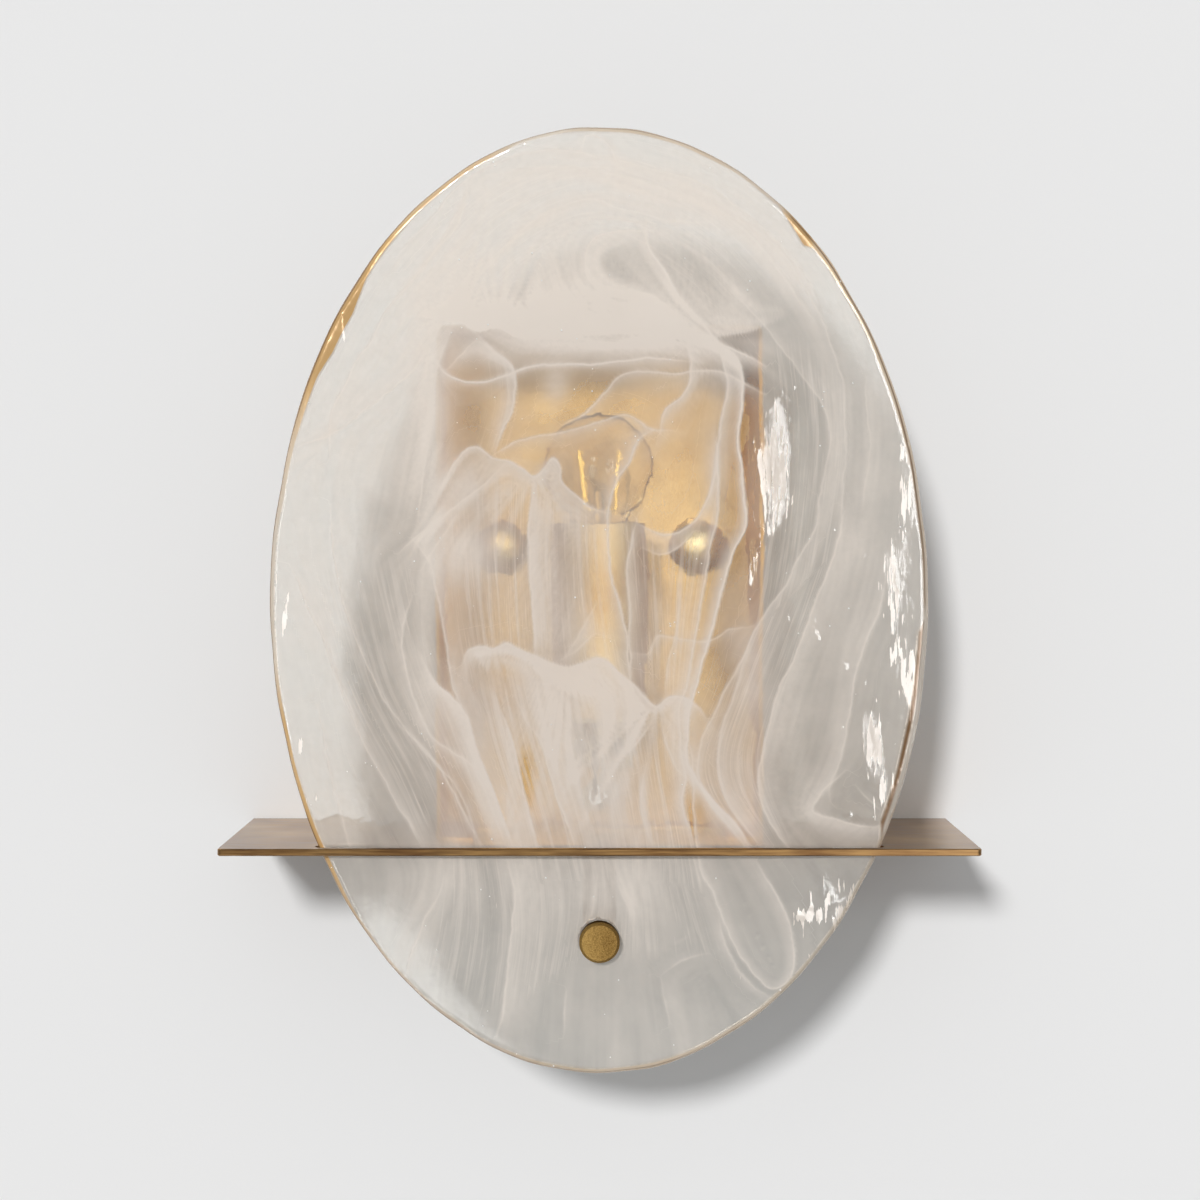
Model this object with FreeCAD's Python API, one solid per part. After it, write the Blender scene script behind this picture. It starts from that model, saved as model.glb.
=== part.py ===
"""Wall sconce: an oval dished glass standing in a slotted brass shelf, in front of a brass lamp housing.

Millimetres. The wall is the plane y = 0, the room is towards -Y, +X is right seen from the room, +Z is up.
The origin is the middle of the wall box's screw pattern, on the wall.
"""

import FreeCAD, Part
import math
import os

V = FreeCAD.Vector

# Glass: an oval, dished so that its rim stands nearer the room than its middle
GLASS_WIDTH = 278.0
GLASS_HEIGHT = 398.0
GLASS_THICKNESS = 6.0
GLASS_DROP = 22.0  # its middle below the origin
GLASS_DISH_ACROSS = 3.0  # sag from the middle to the rim, sideways
GLASS_DISH_UP = 6.0  # and upwards
GLASS_EDGE_ROUND = 2.6

# Shelf
SHELF_WIDTH = 320.0
SHELF_DEPTH = 100.0
SHELF_THICKNESS = 3.0
SHELF_DROP = 126.0  # its top below the origin
SHELF_CORNER = 2.0
SHELF_EDGE_BREAK = 0.35
SLOT_LIP = 3.0  # brass left in front of the slot
SLOT_CLEARANCE = 0.65  # each side of the glass
SLOT_END_CLEARANCE = 1.3

# Housing behind the glass
HOUSING_WIDTH = 140.0
HOUSING_DEPTH = 74.0
HOUSING_TOP = 95.0
HOUSING_SHEET = 1.5
HOUSING_BEND = 1.5  # outer radius of a fold
CAVITY_DEPTH = 20.0  # wiring space between the wall and the panel
BAND_FLANGE = 14.0  # inward flange of each side, on the shelf
PANEL_FLANGE = 16.0  # forward flange of the panel, on the shelf

# Wall plate
PLATE_SIZE = 110.0
PLATE_THICKNESS = 2.0
PLATE_CORNER = 10.0
PLATE_WINDOW = 36.0
BOX_SCREW_SPACING = 88.9
BOX_SLOT_WIDTH = 5.0
BOX_SLOT_LENGTH = 12.0
ANCHOR_SPACING = 76.0
ANCHOR_HOLE = 5.0
STUD_SPACING = 88.9
STUD_DIAMETER = 5.0
STUD_LENGTH = 28.0
STUD_TIP = 0.6
STUD_HOLE_CLEARANCE = 0.3
GROUND_SCREW_X = 24.0
GROUND_SCREW_Z = 24.0
GROUND_SCREW_DIAMETER = 4.8
GROUND_SCREW_HEAD = 8.0

# Domed nuts and their washers
NUT_DIAMETER = 25.0
NUT_SKIRT = 2.5
NUT_DOME = 10.0  # height of the dome in front of the skirt
NUT_BORE_DEPTH = 8.0
NUT_WASHER_DIAMETER = 18.0
NUT_WASHER_THICKNESS = 0.8

# Machine screws
M4_DIAMETER = 4.0
M4_HEAD = 7.0
M4_HEAD_HEIGHT = 2.2
M4_NUT_FLATS = 7.0
M4_NUT_HEIGHT = 3.0
THREAD_CLEARANCE = 0.05  # radial, between a thread and its hole
HEAD_ROUND = 0.4  # of a pan head's height, rounded off
CROSS_WIDTH = 1.0  # driving recess
CROSS_DEPTH = 1.0
CROSS_REACH = 0.3  # of a head's diameter, to each side of its middle
COUNTERSINK_EDGE = 0.2
BAND_SCREW_REAR = 18.5  # rear screw of each side flange, from the wall
BAND_SCREW_FRONT = 14.8  # front screw, from the housing's front edge
PANEL_SCREW_SPACING = 80.0

# Arm, bush, sleeve, washers and knob that hold the glass below the shelf
KNOB_BELOW_SHELF = 36.0  # from the shelf's underside to the knob's axis
ARM_WIDTH = 14.0
ARM_THICKNESS = 3.0
ARM_GAP = 0.9  # between the arm and the glass where the glass leaves the slot
ARM_TAB = 24.0  # length of the tab under the shelf
ARM_SCREW_SPACING = 11.0
BUSH_DIAMETER = 10.0
BUSH_COLLAR = 13.0
BUSH_LENGTH = 9.0
GLASS_SEAT = 18.0  # flat ground round the glass's hole
SLEEVE_WALL = 1.7
SLEEVE_CLEARANCE = 0.1
WASHER_DIAMETER = 15.0
KNOB_WASHER_THICKNESS = 0.8
KNOB_DIAMETER = 17.0
KNOB_THICKNESS = 6.0
KNOB_BEVEL = 1.1
KNOB_SHANK = 6.0
KNOB_SHANK_TIP = 0.8
PAD_LENGTH = 12.0
PAD_GAP = 0.05
PAD_REAR_X = 30.0
PAD_END_INSET = 16.0  # from the slot's end to a front pad's middle

# Lampholder, on the axis of the lamp
LAMP_FORWARD = 49.0  # lamp axis in front of the wall
CUP_DIAMETER = 42.0
CUP_WALL = 1.5
CUP_TOP = 10.5
CUP_HEIGHT = 84.0
CUP_LIP_ROUND = 0.5
BRACKET_WIDTH = 30.0
BRACKET_THICKNESS = 2.0
BRACKET_LEG = 24.0
BRACKET_CORNER = 7.5
BRACKET_SCREW_SPACING = 18.0
BRACKET_SCREW_DROP = 15.0
NIPPLE_DIAMETER = 10.0
NIPPLE_BORE = 7.2
NIPPLE_BELOW = 6.5  # reach below the bracket
NIPPLE_ABOVE = 14.0  # reach above the cup's floor
NIPPLE_NUT_FLATS = 14.0
NIPPLE_NUT_HEIGHT = 3.0

# Socket: body, screw shell and centre contact
SOCKET_DIAMETER = 37.0
SOCKET_TOP_INSET = 7.0  # below the cup's rim
SOCKET_HEIGHT = 64.0
SOCKET_WELL = 28.6
SOCKET_WELL_DEPTH = 29.0
SHELL_WALL = 0.5
SHELL_GAP = 0.3  # between the lamp's cap and the screw shell
SHELL_LIP = 1.2  # plain rim above the thread
SHELL_TURN_IN = 3.0
CONTACT_WIDTH = 7.0
CONTACT_SHEET = 0.6
CONTACT_RISE = 3.0
CONTACT_FOOT = 4.0
CONTACT_RAMP_END = 1.0  # from the well's middle
TERMINAL_HOLE_DEPTH = 6.0

# Lamp
CAP_DIAMETER = 26.4
CAP_HEIGHT = 22.0
CAP_WALL = 0.4
THREAD_PITCH = 3.6
THREAD_DEPTH = 0.9
THREAD_TURNS = 4
THREAD_STEPS = 6  # straight steps along each crest
CAP_HOLE_GAP = 1.0
GLOBE_DIAMETER = 48.0
GLOBE_RISE = 51.0  # globe's middle above the cap's foot
BULB_NECK = 23.4
NECK_IN_CAP = 6.0
NECK_ABOVE_CAP = 3.0
NECK_FLARE = 2.0
BULB_WALL = 1.0
INSULATOR_HEIGHT = 3.2
INSULATOR_INSET = 1.5
TIP_DIAMETER = 9.0
TIP_HEIGHT = 1.6
TIP_FLAT = 5.4
CONTACT_GAP = 0.3
STEM_DIAMETER = 5.0
STEM_HEIGHT = 24.0
STEM_FLARE = 9.0
STEM_DISC = 1.2
STEM_FLARE_RISE = 3.0
STEM_TAPER_RISE = 8.0
FILAMENTS = 4
FILAMENT_TURN = 45.0  # of the first one, in degrees from +X
FILAMENT_BELOW_HEAD = 7.0
FILAMENT_WIRE = 0.8
FILAMENT_DIAMETER = 1.8
FILAMENT_LENGTH = 26.0
FILAMENT_CIRCLE_LOW = 9.0
FILAMENT_CIRCLE_TOP = 13.0

# Wires behind and through the panel
LEAD_DIAMETER = 2.4
LEAD_SPACING = 3.4
LEAD_BEND = 12.0
LEAD_REAR_BEND = 8.0
BUSHING_DROP = 112.0
BUSHING_BODY = 12.4
BUSHING_FLANGE = 16.0
BUSHING_LIP = 14.4
BUSHING_BORE = 9.0
BUSHING_FLANGE_THICKNESS = 1.6
BLOCK_WIDTH = 20.0
BLOCK_DEPTH = 15.0
BLOCK_HEIGHT = 18.0
BLOCK_DROP = 66.0  # its top below the origin
BLOCK_POLE_SPACING = 10.0
BLOCK_SCREW_DIAMETER = 3.0
BLOCK_SCREW_HEAD = 5.4
BLOCK_SCREW_HEAD_HEIGHT = 1.8
BLOCK_TURRET_DIAMETER = 7.0
BLOCK_TURRET_HEIGHT = 1.6
BLOCK_TURRET_BORE = 3.6
BLOCK_LEAD_DEPTH = 6.5  # from the panel to the leads' holes
SPREAD_BEND = 12.0  # of a lead where it goes out to its pole
LEAD_CLEARANCE = 0.1

MARGIN = 5.0  # cutting tools run this far past what they cut
TINY = 1e-6

# Levels and places worked out from the sizes above
SHELF_TOP = -SHELF_DROP
SHELF_BOTTOM = SHELF_TOP - SHELF_THICKNESS
GLASS_MIDDLE = -GLASS_DROP
KNOB_LEVEL = SHELF_BOTTOM - KNOB_BELOW_SHELF
PANEL_REAR = -CAVITY_DEPTH
PANEL_FRONT = PANEL_REAR - HOUSING_SHEET
CUP_FLOOR = CUP_TOP - CUP_HEIGHT
BRACKET_UNDER = CUP_FLOOR - BRACKET_THICKNESS
LAMP_Y = -LAMP_FORWARD


def box(low, high):
    """A block between two corners."""
    size = V(*high) - V(*low)
    return Part.makeBox(size.x, size.y, size.z, V(*low))


def rod(start, direction, radius, length):
    """A round bar from a point along a direction."""
    return Part.makeCylinder(radius, length, V(*start), V(*direction))


def tube(start, direction, outer, inner, length):
    """A round bar with a bore right through it."""
    back = V(*start) - V(*direction) * MARGIN
    bore = Part.makeCylinder(inner, length + 2 * MARGIN, back, V(*direction))
    return rod(start, direction, outer, length).cut(bore)


def edges_along(shape, way):
    """The straight edges of a shape that run along a direction."""
    lines = [e for e in shape.Edges if isinstance(e.Curve, Part.Line)]
    return [e for e in lines if abs(e.tangentAt(e.FirstParameter).dot(way)) > 1 - TINY]


def flat(edge):
    """True if an edge lies level."""
    return edge.BoundBox.ZLength < TINY


def turned(profile, x, y):
    """A solid turned about the upright axis at x, y from (radius, level) points."""
    points = [V(x + radius, y, level) for radius, level in profile]
    face = Part.Face(Part.makePolygon(points + points[:1]))
    return face.revolve(V(x, y, 0), V(0, 0, 1), 360)


def hexagon(centre, direction, flats, height, bore):
    """A hexagonal nut with a plain bore, its low face at the centre point."""
    corner = flats / math.sqrt(3)
    points = [
        V(corner * math.cos(math.radians(60 * k)), corner * math.sin(math.radians(60 * k)), 0)
        for k in range(6)
    ]
    nut = Part.Face(Part.makePolygon(points + points[:1])).extrude(V(0, 0, height))
    nut = nut.cut(rod((0, 0, -MARGIN), (0, 0, 1), bore, height + 2 * MARGIN))
    nut.Placement = FreeCAD.Placement(V(*centre), FreeCAD.Rotation(V(0, 0, 1), V(*direction)))
    return nut


def screw(seat, direction, diameter, length, head, head_height):
    """A pan-head screw: its shank runs from the seat along the direction, its head behind the seat."""
    way = V(*direction)
    shank = rod(seat, direction, diameter / 2, length)
    top = V(*seat) - way * head_height
    cap = Part.makeCylinder(head / 2, head_height, top, way)
    rim = max(cap.Edges, key=lambda e: -(e.CenterOfMass - top).Length)
    cap = cap.makeFillet(head_height * HEAD_ROUND, [rim])
    return cap.fuse(shank).removeSplitter().cut(cross_recess(top, way, head))


def cross_recess(top, way, head):
    """The crossed driving slots of a screw head, reaching down from its top."""
    across = V(1, 0, 0)
    along = way.cross(across)
    arms = []
    for side, other in ((across, along), (along, across)):
        half = side * (head * CROSS_REACH)
        width = other * (CROSS_WIDTH / 2)
        start = top - way * MARGIN
        corners = [start - half - width, start + half - width, start + half + width, start - half + width]
        face = Part.Face(Part.makePolygon(corners + corners[:1]))
        arms.append(face.extrude(way * (MARGIN + CROSS_DEPTH)))
    return arms[0].fuse(arms[1])


def glass_radii():
    """Radii of the glass's rear face, sideways and upwards."""
    half_width = GLASS_WIDTH / 2
    half_height = GLASS_HEIGHT / 2
    across = (half_width**2 + GLASS_DISH_ACROSS**2) / (2 * GLASS_DISH_ACROSS)
    upward = (half_height**2 + GLASS_DISH_UP**2) / (2 * GLASS_DISH_UP)
    return across, upward


def sag(x, level, inset=0.0):
    """How far the dished face at x and level lies in front of its middle; inset is its depth in the glass."""
    across, upward = glass_radii()
    across -= inset
    upward -= inset
    sideways = across - math.sqrt(across**2 - x**2)
    height = level - GLASS_MIDDLE
    return upward - math.sqrt((upward - sideways) ** 2 - height**2)


def half_chord(level):
    """Half the glass's width at a level."""
    share = (level - GLASS_MIDDLE) / (GLASS_HEIGHT / 2)
    return GLASS_WIDTH / 2 * math.sqrt(1 - share**2)


SLOT_SAG_MIDDLE = sag(0, SHELF_TOP)
SLOT_SAG_END = sag(half_chord(SHELF_TOP), SHELF_TOP)
SLOT_WIDTH = GLASS_THICKNESS + SLOT_SAG_END - SLOT_SAG_MIDDLE + 2 * SLOT_CLEARANCE
SLOT_HALF_LENGTH = half_chord(SHELF_TOP) + SLOT_END_CLEARANCE
SLOT_FRONT = SLOT_LIP - SHELF_DEPTH
SLOT_REAR = SLOT_FRONT + SLOT_WIDTH
GLASS_REAR_MIDDLE = SLOT_REAR - SLOT_CLEARANCE + SLOT_SAG_MIDDLE
GLASS_FRONT_MIDDLE = GLASS_REAR_MIDDLE - GLASS_THICKNESS


def glass_rear(x, level):
    """Where the glass's rear face lies."""
    return GLASS_REAR_MIDDLE - sag(x, level)


def glass_front(x, level):
    """Where the glass's front face lies."""
    return GLASS_FRONT_MIDDLE - sag(x, level, GLASS_THICKNESS)


SEAT_HIGH = KNOB_LEVEL + GLASS_SEAT / 2
SEAT_LOW = KNOB_LEVEL - GLASS_SEAT / 2
REAR_SEAT = glass_rear(GLASS_SEAT / 2, SEAT_LOW)
FRONT_SEAT = glass_front(0, SEAT_HIGH)
ARM_FRONT = glass_rear(0, SHELF_BOTTOM) + ARM_GAP
ARM_REAR = ARM_FRONT + ARM_THICKNESS
KNOB_REAR = FRONT_SEAT - KNOB_WASHER_THICKNESS
SLEEVE_BORE = KNOB_SHANK / 2 + SLEEVE_CLEARANCE
SLEEVE_OUTER = SLEEVE_BORE + SLEEVE_WALL


def mounting_plate():
    """Square steel plate with a wire window, two slots for the wall box and four anchor holes."""
    half = PLATE_SIZE / 2
    plate = box((-half, -PLATE_THICKNESS, -half), (half, 0, half))
    plate = plate.makeFillet(PLATE_CORNER, edges_along(plate, V(0, 1, 0)))
    front = -PLATE_THICKNESS - MARGIN
    reach = PLATE_THICKNESS + 2 * MARGIN
    plate = plate.cut(rod((0, front, 0), (0, 1, 0), PLATE_WINDOW / 2, reach))
    for side in (-1, 1):
        for end in (-1, 1):
            place = (side * ANCHOR_SPACING / 2, front, end * ANCHOR_SPACING / 2)
            plate = plate.cut(rod(place, (0, 1, 0), ANCHOR_HOLE / 2, reach))
        plate = plate.cut(upright_slot(side * BOX_SCREW_SPACING / 2, front, reach))
    hole = GROUND_SCREW_DIAMETER / 2 + THREAD_CLEARANCE
    return plate.cut(rod((GROUND_SCREW_X, front, GROUND_SCREW_Z), (0, 1, 0), hole, reach))


def upright_slot(level, front, reach):
    """Cutter for a round-ended upright slot in the wall plate."""
    radius = BOX_SLOT_WIDTH / 2
    half = BOX_SLOT_LENGTH / 2 - radius
    middle = box((-radius, front, level - half), (radius, front + reach, level + half))
    ends = [rod((0, front, level + end * half), (0, 1, 0), radius, reach) for end in (-1, 1)]
    return middle.multiFuse(ends).removeSplitter()


def mounting_studs():
    """Two studs welded to the plate's front."""
    studs = []
    for side in (-1, 1):
        foot = (side * STUD_SPACING / 2, -PLATE_THICKNESS, 0)
        stud = rod(foot, (0, -1, 0), STUD_DIAMETER / 2, STUD_LENGTH)
        studs.append(chamfer_far_end(stud, V(0, -1, 0), STUD_TIP))
    return Part.makeCompound(studs)


def chamfer_far_end(bar, way, size):
    """A small chamfer on the round edge that lies farthest along a direction."""
    rim = max(bar.Edges, key=lambda e: e.CenterOfMass.dot(way))
    return bar.makeChamfer(size, [rim])


def ground_screw():
    """Earthing screw: head on the plate's front, shank through its threaded hole."""
    seat = (GROUND_SCREW_X, -PLATE_THICKNESS, GROUND_SCREW_Z)
    length = PLATE_THICKNESS - THREAD_CLEARANCE
    return screw(seat, (0, 1, 0), GROUND_SCREW_DIAMETER, length, GROUND_SCREW_HEAD, M4_HEAD_HEIGHT)


def panel_screw_places():
    """Where the screws through the shelf meet the panel's bottom flange."""
    y = PANEL_FRONT - PANEL_FLANGE / 2
    return [(side * PANEL_SCREW_SPACING / 2, y) for side in (-1, 1)]


def band_screw_places():
    """Where the screws through the shelf meet the band's two bottom flanges."""
    x = HOUSING_WIDTH / 2 - HOUSING_SHEET - BAND_FLANGE / 2
    rows = (-BAND_SCREW_REAR, BAND_SCREW_FRONT - HOUSING_DEPTH)
    return [(side * x, y) for side in (-1, 1) for y in rows]


def bracket_screw_places():
    """Where the screws of the lamp bracket go through the panel."""
    level = BRACKET_UNDER - BRACKET_SCREW_DROP
    return [(side * BRACKET_SCREW_SPACING / 2, level) for side in (-1, 1)]


def back_panel():
    """Brass panel between the sides of the housing, folded forward along the shelf."""
    half = HOUSING_WIDTH / 2 - HOUSING_SHEET
    top = HOUSING_TOP - HOUSING_SHEET
    sheet = box((-half, PANEL_FRONT, SHELF_TOP), (half, PANEL_REAR, top))
    inner = half - BAND_FLANGE
    foot = SHELF_TOP + HOUSING_SHEET
    notch_depth = PANEL_REAR - PANEL_FRONT + 2 * MARGIN
    for side in (-1, 1):
        edge = sorted((side * inner, side * (half + MARGIN)))
        notch = box(
            (edge[0], PANEL_FRONT - MARGIN, SHELF_TOP - MARGIN),
            (edge[1], PANEL_FRONT - MARGIN + notch_depth, foot),
        )
        sheet = sheet.cut(notch)
    flange = box((-inner, PANEL_FRONT - PANEL_FLANGE, SHELF_TOP), (inner, PANEL_FRONT, foot))
    sheet = sheet.fuse(flange).removeSplitter()
    start = PANEL_FRONT - MARGIN
    holes = [(side * STUD_SPACING / 2, 0, STUD_DIAMETER / 2 + STUD_HOLE_CLEARANCE) for side in (-1, 1)]
    holes.append((0, -BUSHING_DROP, BUSHING_BODY / 2 + THREAD_CLEARANCE))
    holes += [(x, z, M4_DIAMETER / 2 + THREAD_CLEARANCE) for x, z in bracket_screw_places()]
    holes.append((0, block_middle(), BLOCK_SCREW_DIAMETER / 2 + THREAD_CLEARANCE))
    for x, z, radius in holes:
        sheet = sheet.cut(rod((x, start, z), (0, 1, 0), radius, notch_depth))
    for x, y in panel_screw_places():
        radius = M4_DIAMETER / 2 + THREAD_CLEARANCE
        sheet = sheet.cut(rod((x, y, SHELF_TOP - MARGIN), (0, 0, 1), radius, HOUSING_SHEET + 2 * MARGIN))
    return sheet


def block_middle():
    """Level of the terminal block's fixing screw."""
    return -BLOCK_DROP - BLOCK_HEIGHT / 2


def surround_band():
    """Brass strip folded round both sides and the top, with a flange under each side."""
    outer = HOUSING_WIDTH / 2
    inner = outer - HOUSING_SHEET
    foot = SHELF_TOP + HOUSING_SHEET
    body = box((-outer, -HOUSING_DEPTH, SHELF_TOP), (outer, 0, HOUSING_TOP))
    body = body.makeFillet(HOUSING_BEND, edges_along(body, V(0, 1, 0)))
    back = -HOUSING_DEPTH - MARGIN
    hollow = box((-inner, back, foot), (inner, MARGIN, HOUSING_TOP - HOUSING_SHEET))
    gap = inner - BAND_FLANGE
    body = body.cut(hollow).cut(box((-gap, back, SHELF_TOP - MARGIN), (gap, MARGIN, foot + MARGIN)))
    for x, y in band_screw_places():
        radius = M4_DIAMETER / 2 + THREAD_CLEARANCE
        body = body.cut(rod((x, y, SHELF_TOP - MARGIN), (0, 0, 1), radius, HOUSING_SHEET + 2 * MARGIN))
    return body


def nut_seat():
    """Level of the domed nuts' seats in front of the wall."""
    return PANEL_FRONT - NUT_WASHER_THICKNESS


def cap_nut_washers():
    """Washers between the panel and the domed nuts."""
    outer = NUT_WASHER_DIAMETER / 2
    bore = STUD_DIAMETER / 2 + STUD_HOLE_CLEARANCE
    seats = [(side * STUD_SPACING / 2, PANEL_FRONT, 0) for side in (-1, 1)]
    washers = [tube(seat, (0, -1, 0), outer, bore, NUT_WASHER_THICKNESS) for seat in seats]
    return Part.makeCompound(washers)


def cap_nuts():
    """Domed brass nuts on the studs."""
    nuts = []
    radius = NUT_DIAMETER / 2
    crown = (radius**2 + NUT_DOME**2) / (2 * NUT_DOME)
    for side in (-1, 1):
        seat = V(side * STUD_SPACING / 2, nut_seat(), 0)
        skirt = Part.makeCylinder(radius, NUT_SKIRT, seat, V(0, -1, 0))
        front = seat.y - NUT_SKIRT
        ball = Part.makeSphere(crown, V(seat.x, front - NUT_DOME + crown, 0))
        ahead = box(
            (seat.x - crown - MARGIN, front - NUT_DOME - MARGIN, -crown - MARGIN),
            (seat.x + crown + MARGIN, front, crown + MARGIN),
        )
        nut = skirt.fuse(ball.common(ahead)).removeSplitter()
        thread = STUD_DIAMETER / 2 + THREAD_CLEARANCE
        bore = rod(seat + V(0, MARGIN, 0), (0, -1, 0), thread, MARGIN + NUT_BORE_DEPTH)
        nuts.append(nut.cut(bore))
    return Part.makeCompound(nuts)


def countersunk(x, y, radius, head, start, depth):
    """The form of a countersunk screw pushed up from the shelf's underside."""
    cone_height = head - radius
    profile = [
        (0, start),
        (head, start),
        (head, start + COUNTERSINK_EDGE),
        (radius, start + COUNTERSINK_EDGE + cone_height),
        (radius, start + depth),
        (0, start + depth),
    ]
    return turned(profile, x, y)


def shelf_screw_places():
    """All the screws that join the shelf and the housing."""
    return band_screw_places() + panel_screw_places()


def shelf_screws():
    """Countersunk screws from under the shelf into the flanges."""
    depth = SHELF_THICKNESS + HOUSING_SHEET
    screws = []
    for x, y in shelf_screw_places():
        body = countersunk(x, y, M4_DIAMETER / 2, M4_HEAD / 2, SHELF_BOTTOM, depth)
        recess = cross_recess(V(x, y, SHELF_BOTTOM), V(0, 0, 1), M4_HEAD)
        screws.append(body.cut(recess))
    return Part.makeCompound(screws)


def arm_screw_places():
    """The two screws of the arm's tab, one behind the other."""
    middle = ARM_REAR + (ARM_TAB - ARM_THICKNESS) / 2
    return [(0, middle + side * ARM_SCREW_SPACING / 2) for side in (-1, 1)]


def shelf_plate():
    """Brass shelf with rounded front corners, the glass's slot and the screw holes."""
    half = SHELF_WIDTH / 2
    plate = box((-half, -SHELF_DEPTH, SHELF_BOTTOM), (half, 0, SHELF_TOP))
    corners = [e for e in edges_along(plate, V(0, 0, 1)) if e.CenterOfMass.y < -SHELF_DEPTH / 2]
    plate = plate.makeFillet(SHELF_CORNER, corners)
    rims = [e for e in plate.Edges if flat(e) and e.CenterOfMass.y < -TINY]
    plate = plate.makeChamfer(SHELF_EDGE_BREAK, rims)
    under = SHELF_BOTTOM - MARGIN
    reach = SHELF_THICKNESS + 2 * MARGIN
    radius = SLOT_WIDTH / 2
    straight = SLOT_HALF_LENGTH - radius
    middle_y = (SLOT_FRONT + SLOT_REAR) / 2
    slot = box((-straight, SLOT_FRONT, under), (straight, SLOT_REAR, under + reach))
    ends = [rod((side * straight, middle_y, under), (0, 0, 1), radius, reach) for side in (-1, 1)]
    plate = plate.cut(slot.multiFuse(ends).removeSplitter())
    for x, y in shelf_screw_places():
        gap = THREAD_CLEARANCE
        hole = countersunk(x, y, M4_DIAMETER / 2 + gap, M4_HEAD / 2 + gap, SHELF_BOTTOM, reach)
        plate = plate.cut(hole)
    for x, y in arm_screw_places():
        plate = plate.cut(rod((x, y, under), (0, 0, 1), M4_DIAMETER / 2 + THREAD_CLEARANCE, reach))
    return plate


def oval(growth, front, rear):
    """An upright oval bar of the glass's outline, grown by a margin."""
    long_end = V(0, front, GLASS_MIDDLE + GLASS_HEIGHT / 2 + growth)
    side_end = V(GLASS_WIDTH / 2 + growth, front, GLASS_MIDDLE)
    outline = Part.Ellipse(long_end, side_end, V(0, front, GLASS_MIDDLE))
    return Part.Face(Part.Wire(outline.toShape())).extrude(V(0, rear - front, 0))


def dished_sheet():
    """The sheet before it is cut to its outline: an arc swept round a second, upright arc."""
    across, upward = glass_radii()
    half = GLASS_WIDTH / 2 + MARGIN

    def arc(inset):
        radius = across - inset
        edge = radius - math.sqrt(radius**2 - half**2)
        middle_y = GLASS_REAR_MIDDLE - inset
        ends = [V(side * half, middle_y - edge, GLASS_MIDDLE) for side in (-1, 1)]
        return Part.Arc(ends[0], V(0, middle_y, GLASS_MIDDLE), ends[1]).toShape(), ends

    rear, rear_ends = arc(0)
    front, front_ends = arc(GLASS_THICKNESS)
    sides = [Part.makeLine(rear_ends[k], front_ends[k]) for k in (0, 1)]
    face = Part.Face(Part.Wire(Part.__sortEdges__([rear, front] + sides)))
    centre = V(0, GLASS_REAR_MIDDLE - upward, GLASS_MIDDLE)
    shortest = upward - GLASS_THICKNESS - GLASS_DISH_ACROSS
    swing = math.degrees(math.asin((GLASS_HEIGHT / 2 + MARGIN) / shortest))
    face.rotate(centre, V(1, 0, 0), -swing)
    return face.revolve(centre, V(1, 0, 0), 2 * swing)


def glass_shell():
    """Oval dished glass with a rounded rim, a hole and flat seats for the knob."""
    deepest = sag(0, GLASS_MIDDLE + GLASS_HEIGHT / 2, GLASS_THICKNESS)
    front = GLASS_FRONT_MIDDLE - deepest - GLASS_DISH_ACROSS - MARGIN
    shell = dished_sheet().common(oval(0, front, GLASS_REAR_MIDDLE + MARGIN))
    shell = shell.Solids[0]
    rims = [e for e in shell.Edges if e.BoundBox.ZLength > GLASS_THICKNESS]
    shell = shell.makeFillet(GLASS_EDGE_ROUND, rims)
    shell = shell.cut(rod((0, FRONT_SEAT, KNOB_LEVEL), (0, -1, 0), GLASS_SEAT / 2, MARGIN))
    shell = shell.cut(rod((0, REAR_SEAT, KNOB_LEVEL), (0, 1, 0), GLASS_SEAT / 2, MARGIN))
    radius = SLEEVE_OUTER + SLEEVE_CLEARANCE
    reach = GLASS_THICKNESS + 2 * MARGIN
    return shell.cut(rod((0, REAR_SEAT + MARGIN, KNOB_LEVEL), (0, -1, 0), radius, reach))


def slot_pads():
    """Silicone pads between the glass and the slot's walls: two behind its middle, two before its ends."""
    half = PAD_LENGTH / 2
    pads = []
    for side in (-1, 1):
        x = side * PAD_REAR_X
        face = glass_rear(PAD_REAR_X - half, SHELF_TOP) + PAD_GAP
        pads.append(box((x - half, face, SHELF_BOTTOM), (x + half, SLOT_REAR, SHELF_TOP)))
        x = side * (SLOT_HALF_LENGTH - PAD_END_INSET)
        face = glass_front(abs(x) + half, SHELF_BOTTOM) - PAD_GAP
        pads.append(box((x - half, SLOT_FRONT, SHELF_BOTTOM), (x + half, face, SHELF_TOP)))
    return Part.makeCompound(pads)


def glass_arm():
    """Brass strip folded at right angles: a tab under the shelf and a round-ended leg behind the glass."""
    half = ARM_WIDTH / 2
    leg = box((-half, ARM_FRONT, KNOB_LEVEL), (half, ARM_REAR, SHELF_BOTTOM))
    tab = box((-half, ARM_FRONT, SHELF_BOTTOM - ARM_THICKNESS), (half, ARM_FRONT + ARM_TAB, SHELF_BOTTOM))
    end = rod((0, ARM_FRONT, KNOB_LEVEL), (0, 1, 0), half, ARM_THICKNESS)
    arm = leg.multiFuse([tab, end]).removeSplitter()
    hole = rod((0, ARM_FRONT - MARGIN, KNOB_LEVEL), (0, 1, 0), BUSH_DIAMETER / 2, ARM_THICKNESS + 2 * MARGIN)
    arm = arm.cut(hole)
    for x, y in arm_screw_places():
        start = (x, y, SHELF_BOTTOM - ARM_THICKNESS - MARGIN)
        radius = M4_DIAMETER / 2 + THREAD_CLEARANCE
        arm = arm.cut(rod(start, (0, 0, 1), radius, ARM_THICKNESS + 2 * MARGIN))
    return arm


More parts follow.
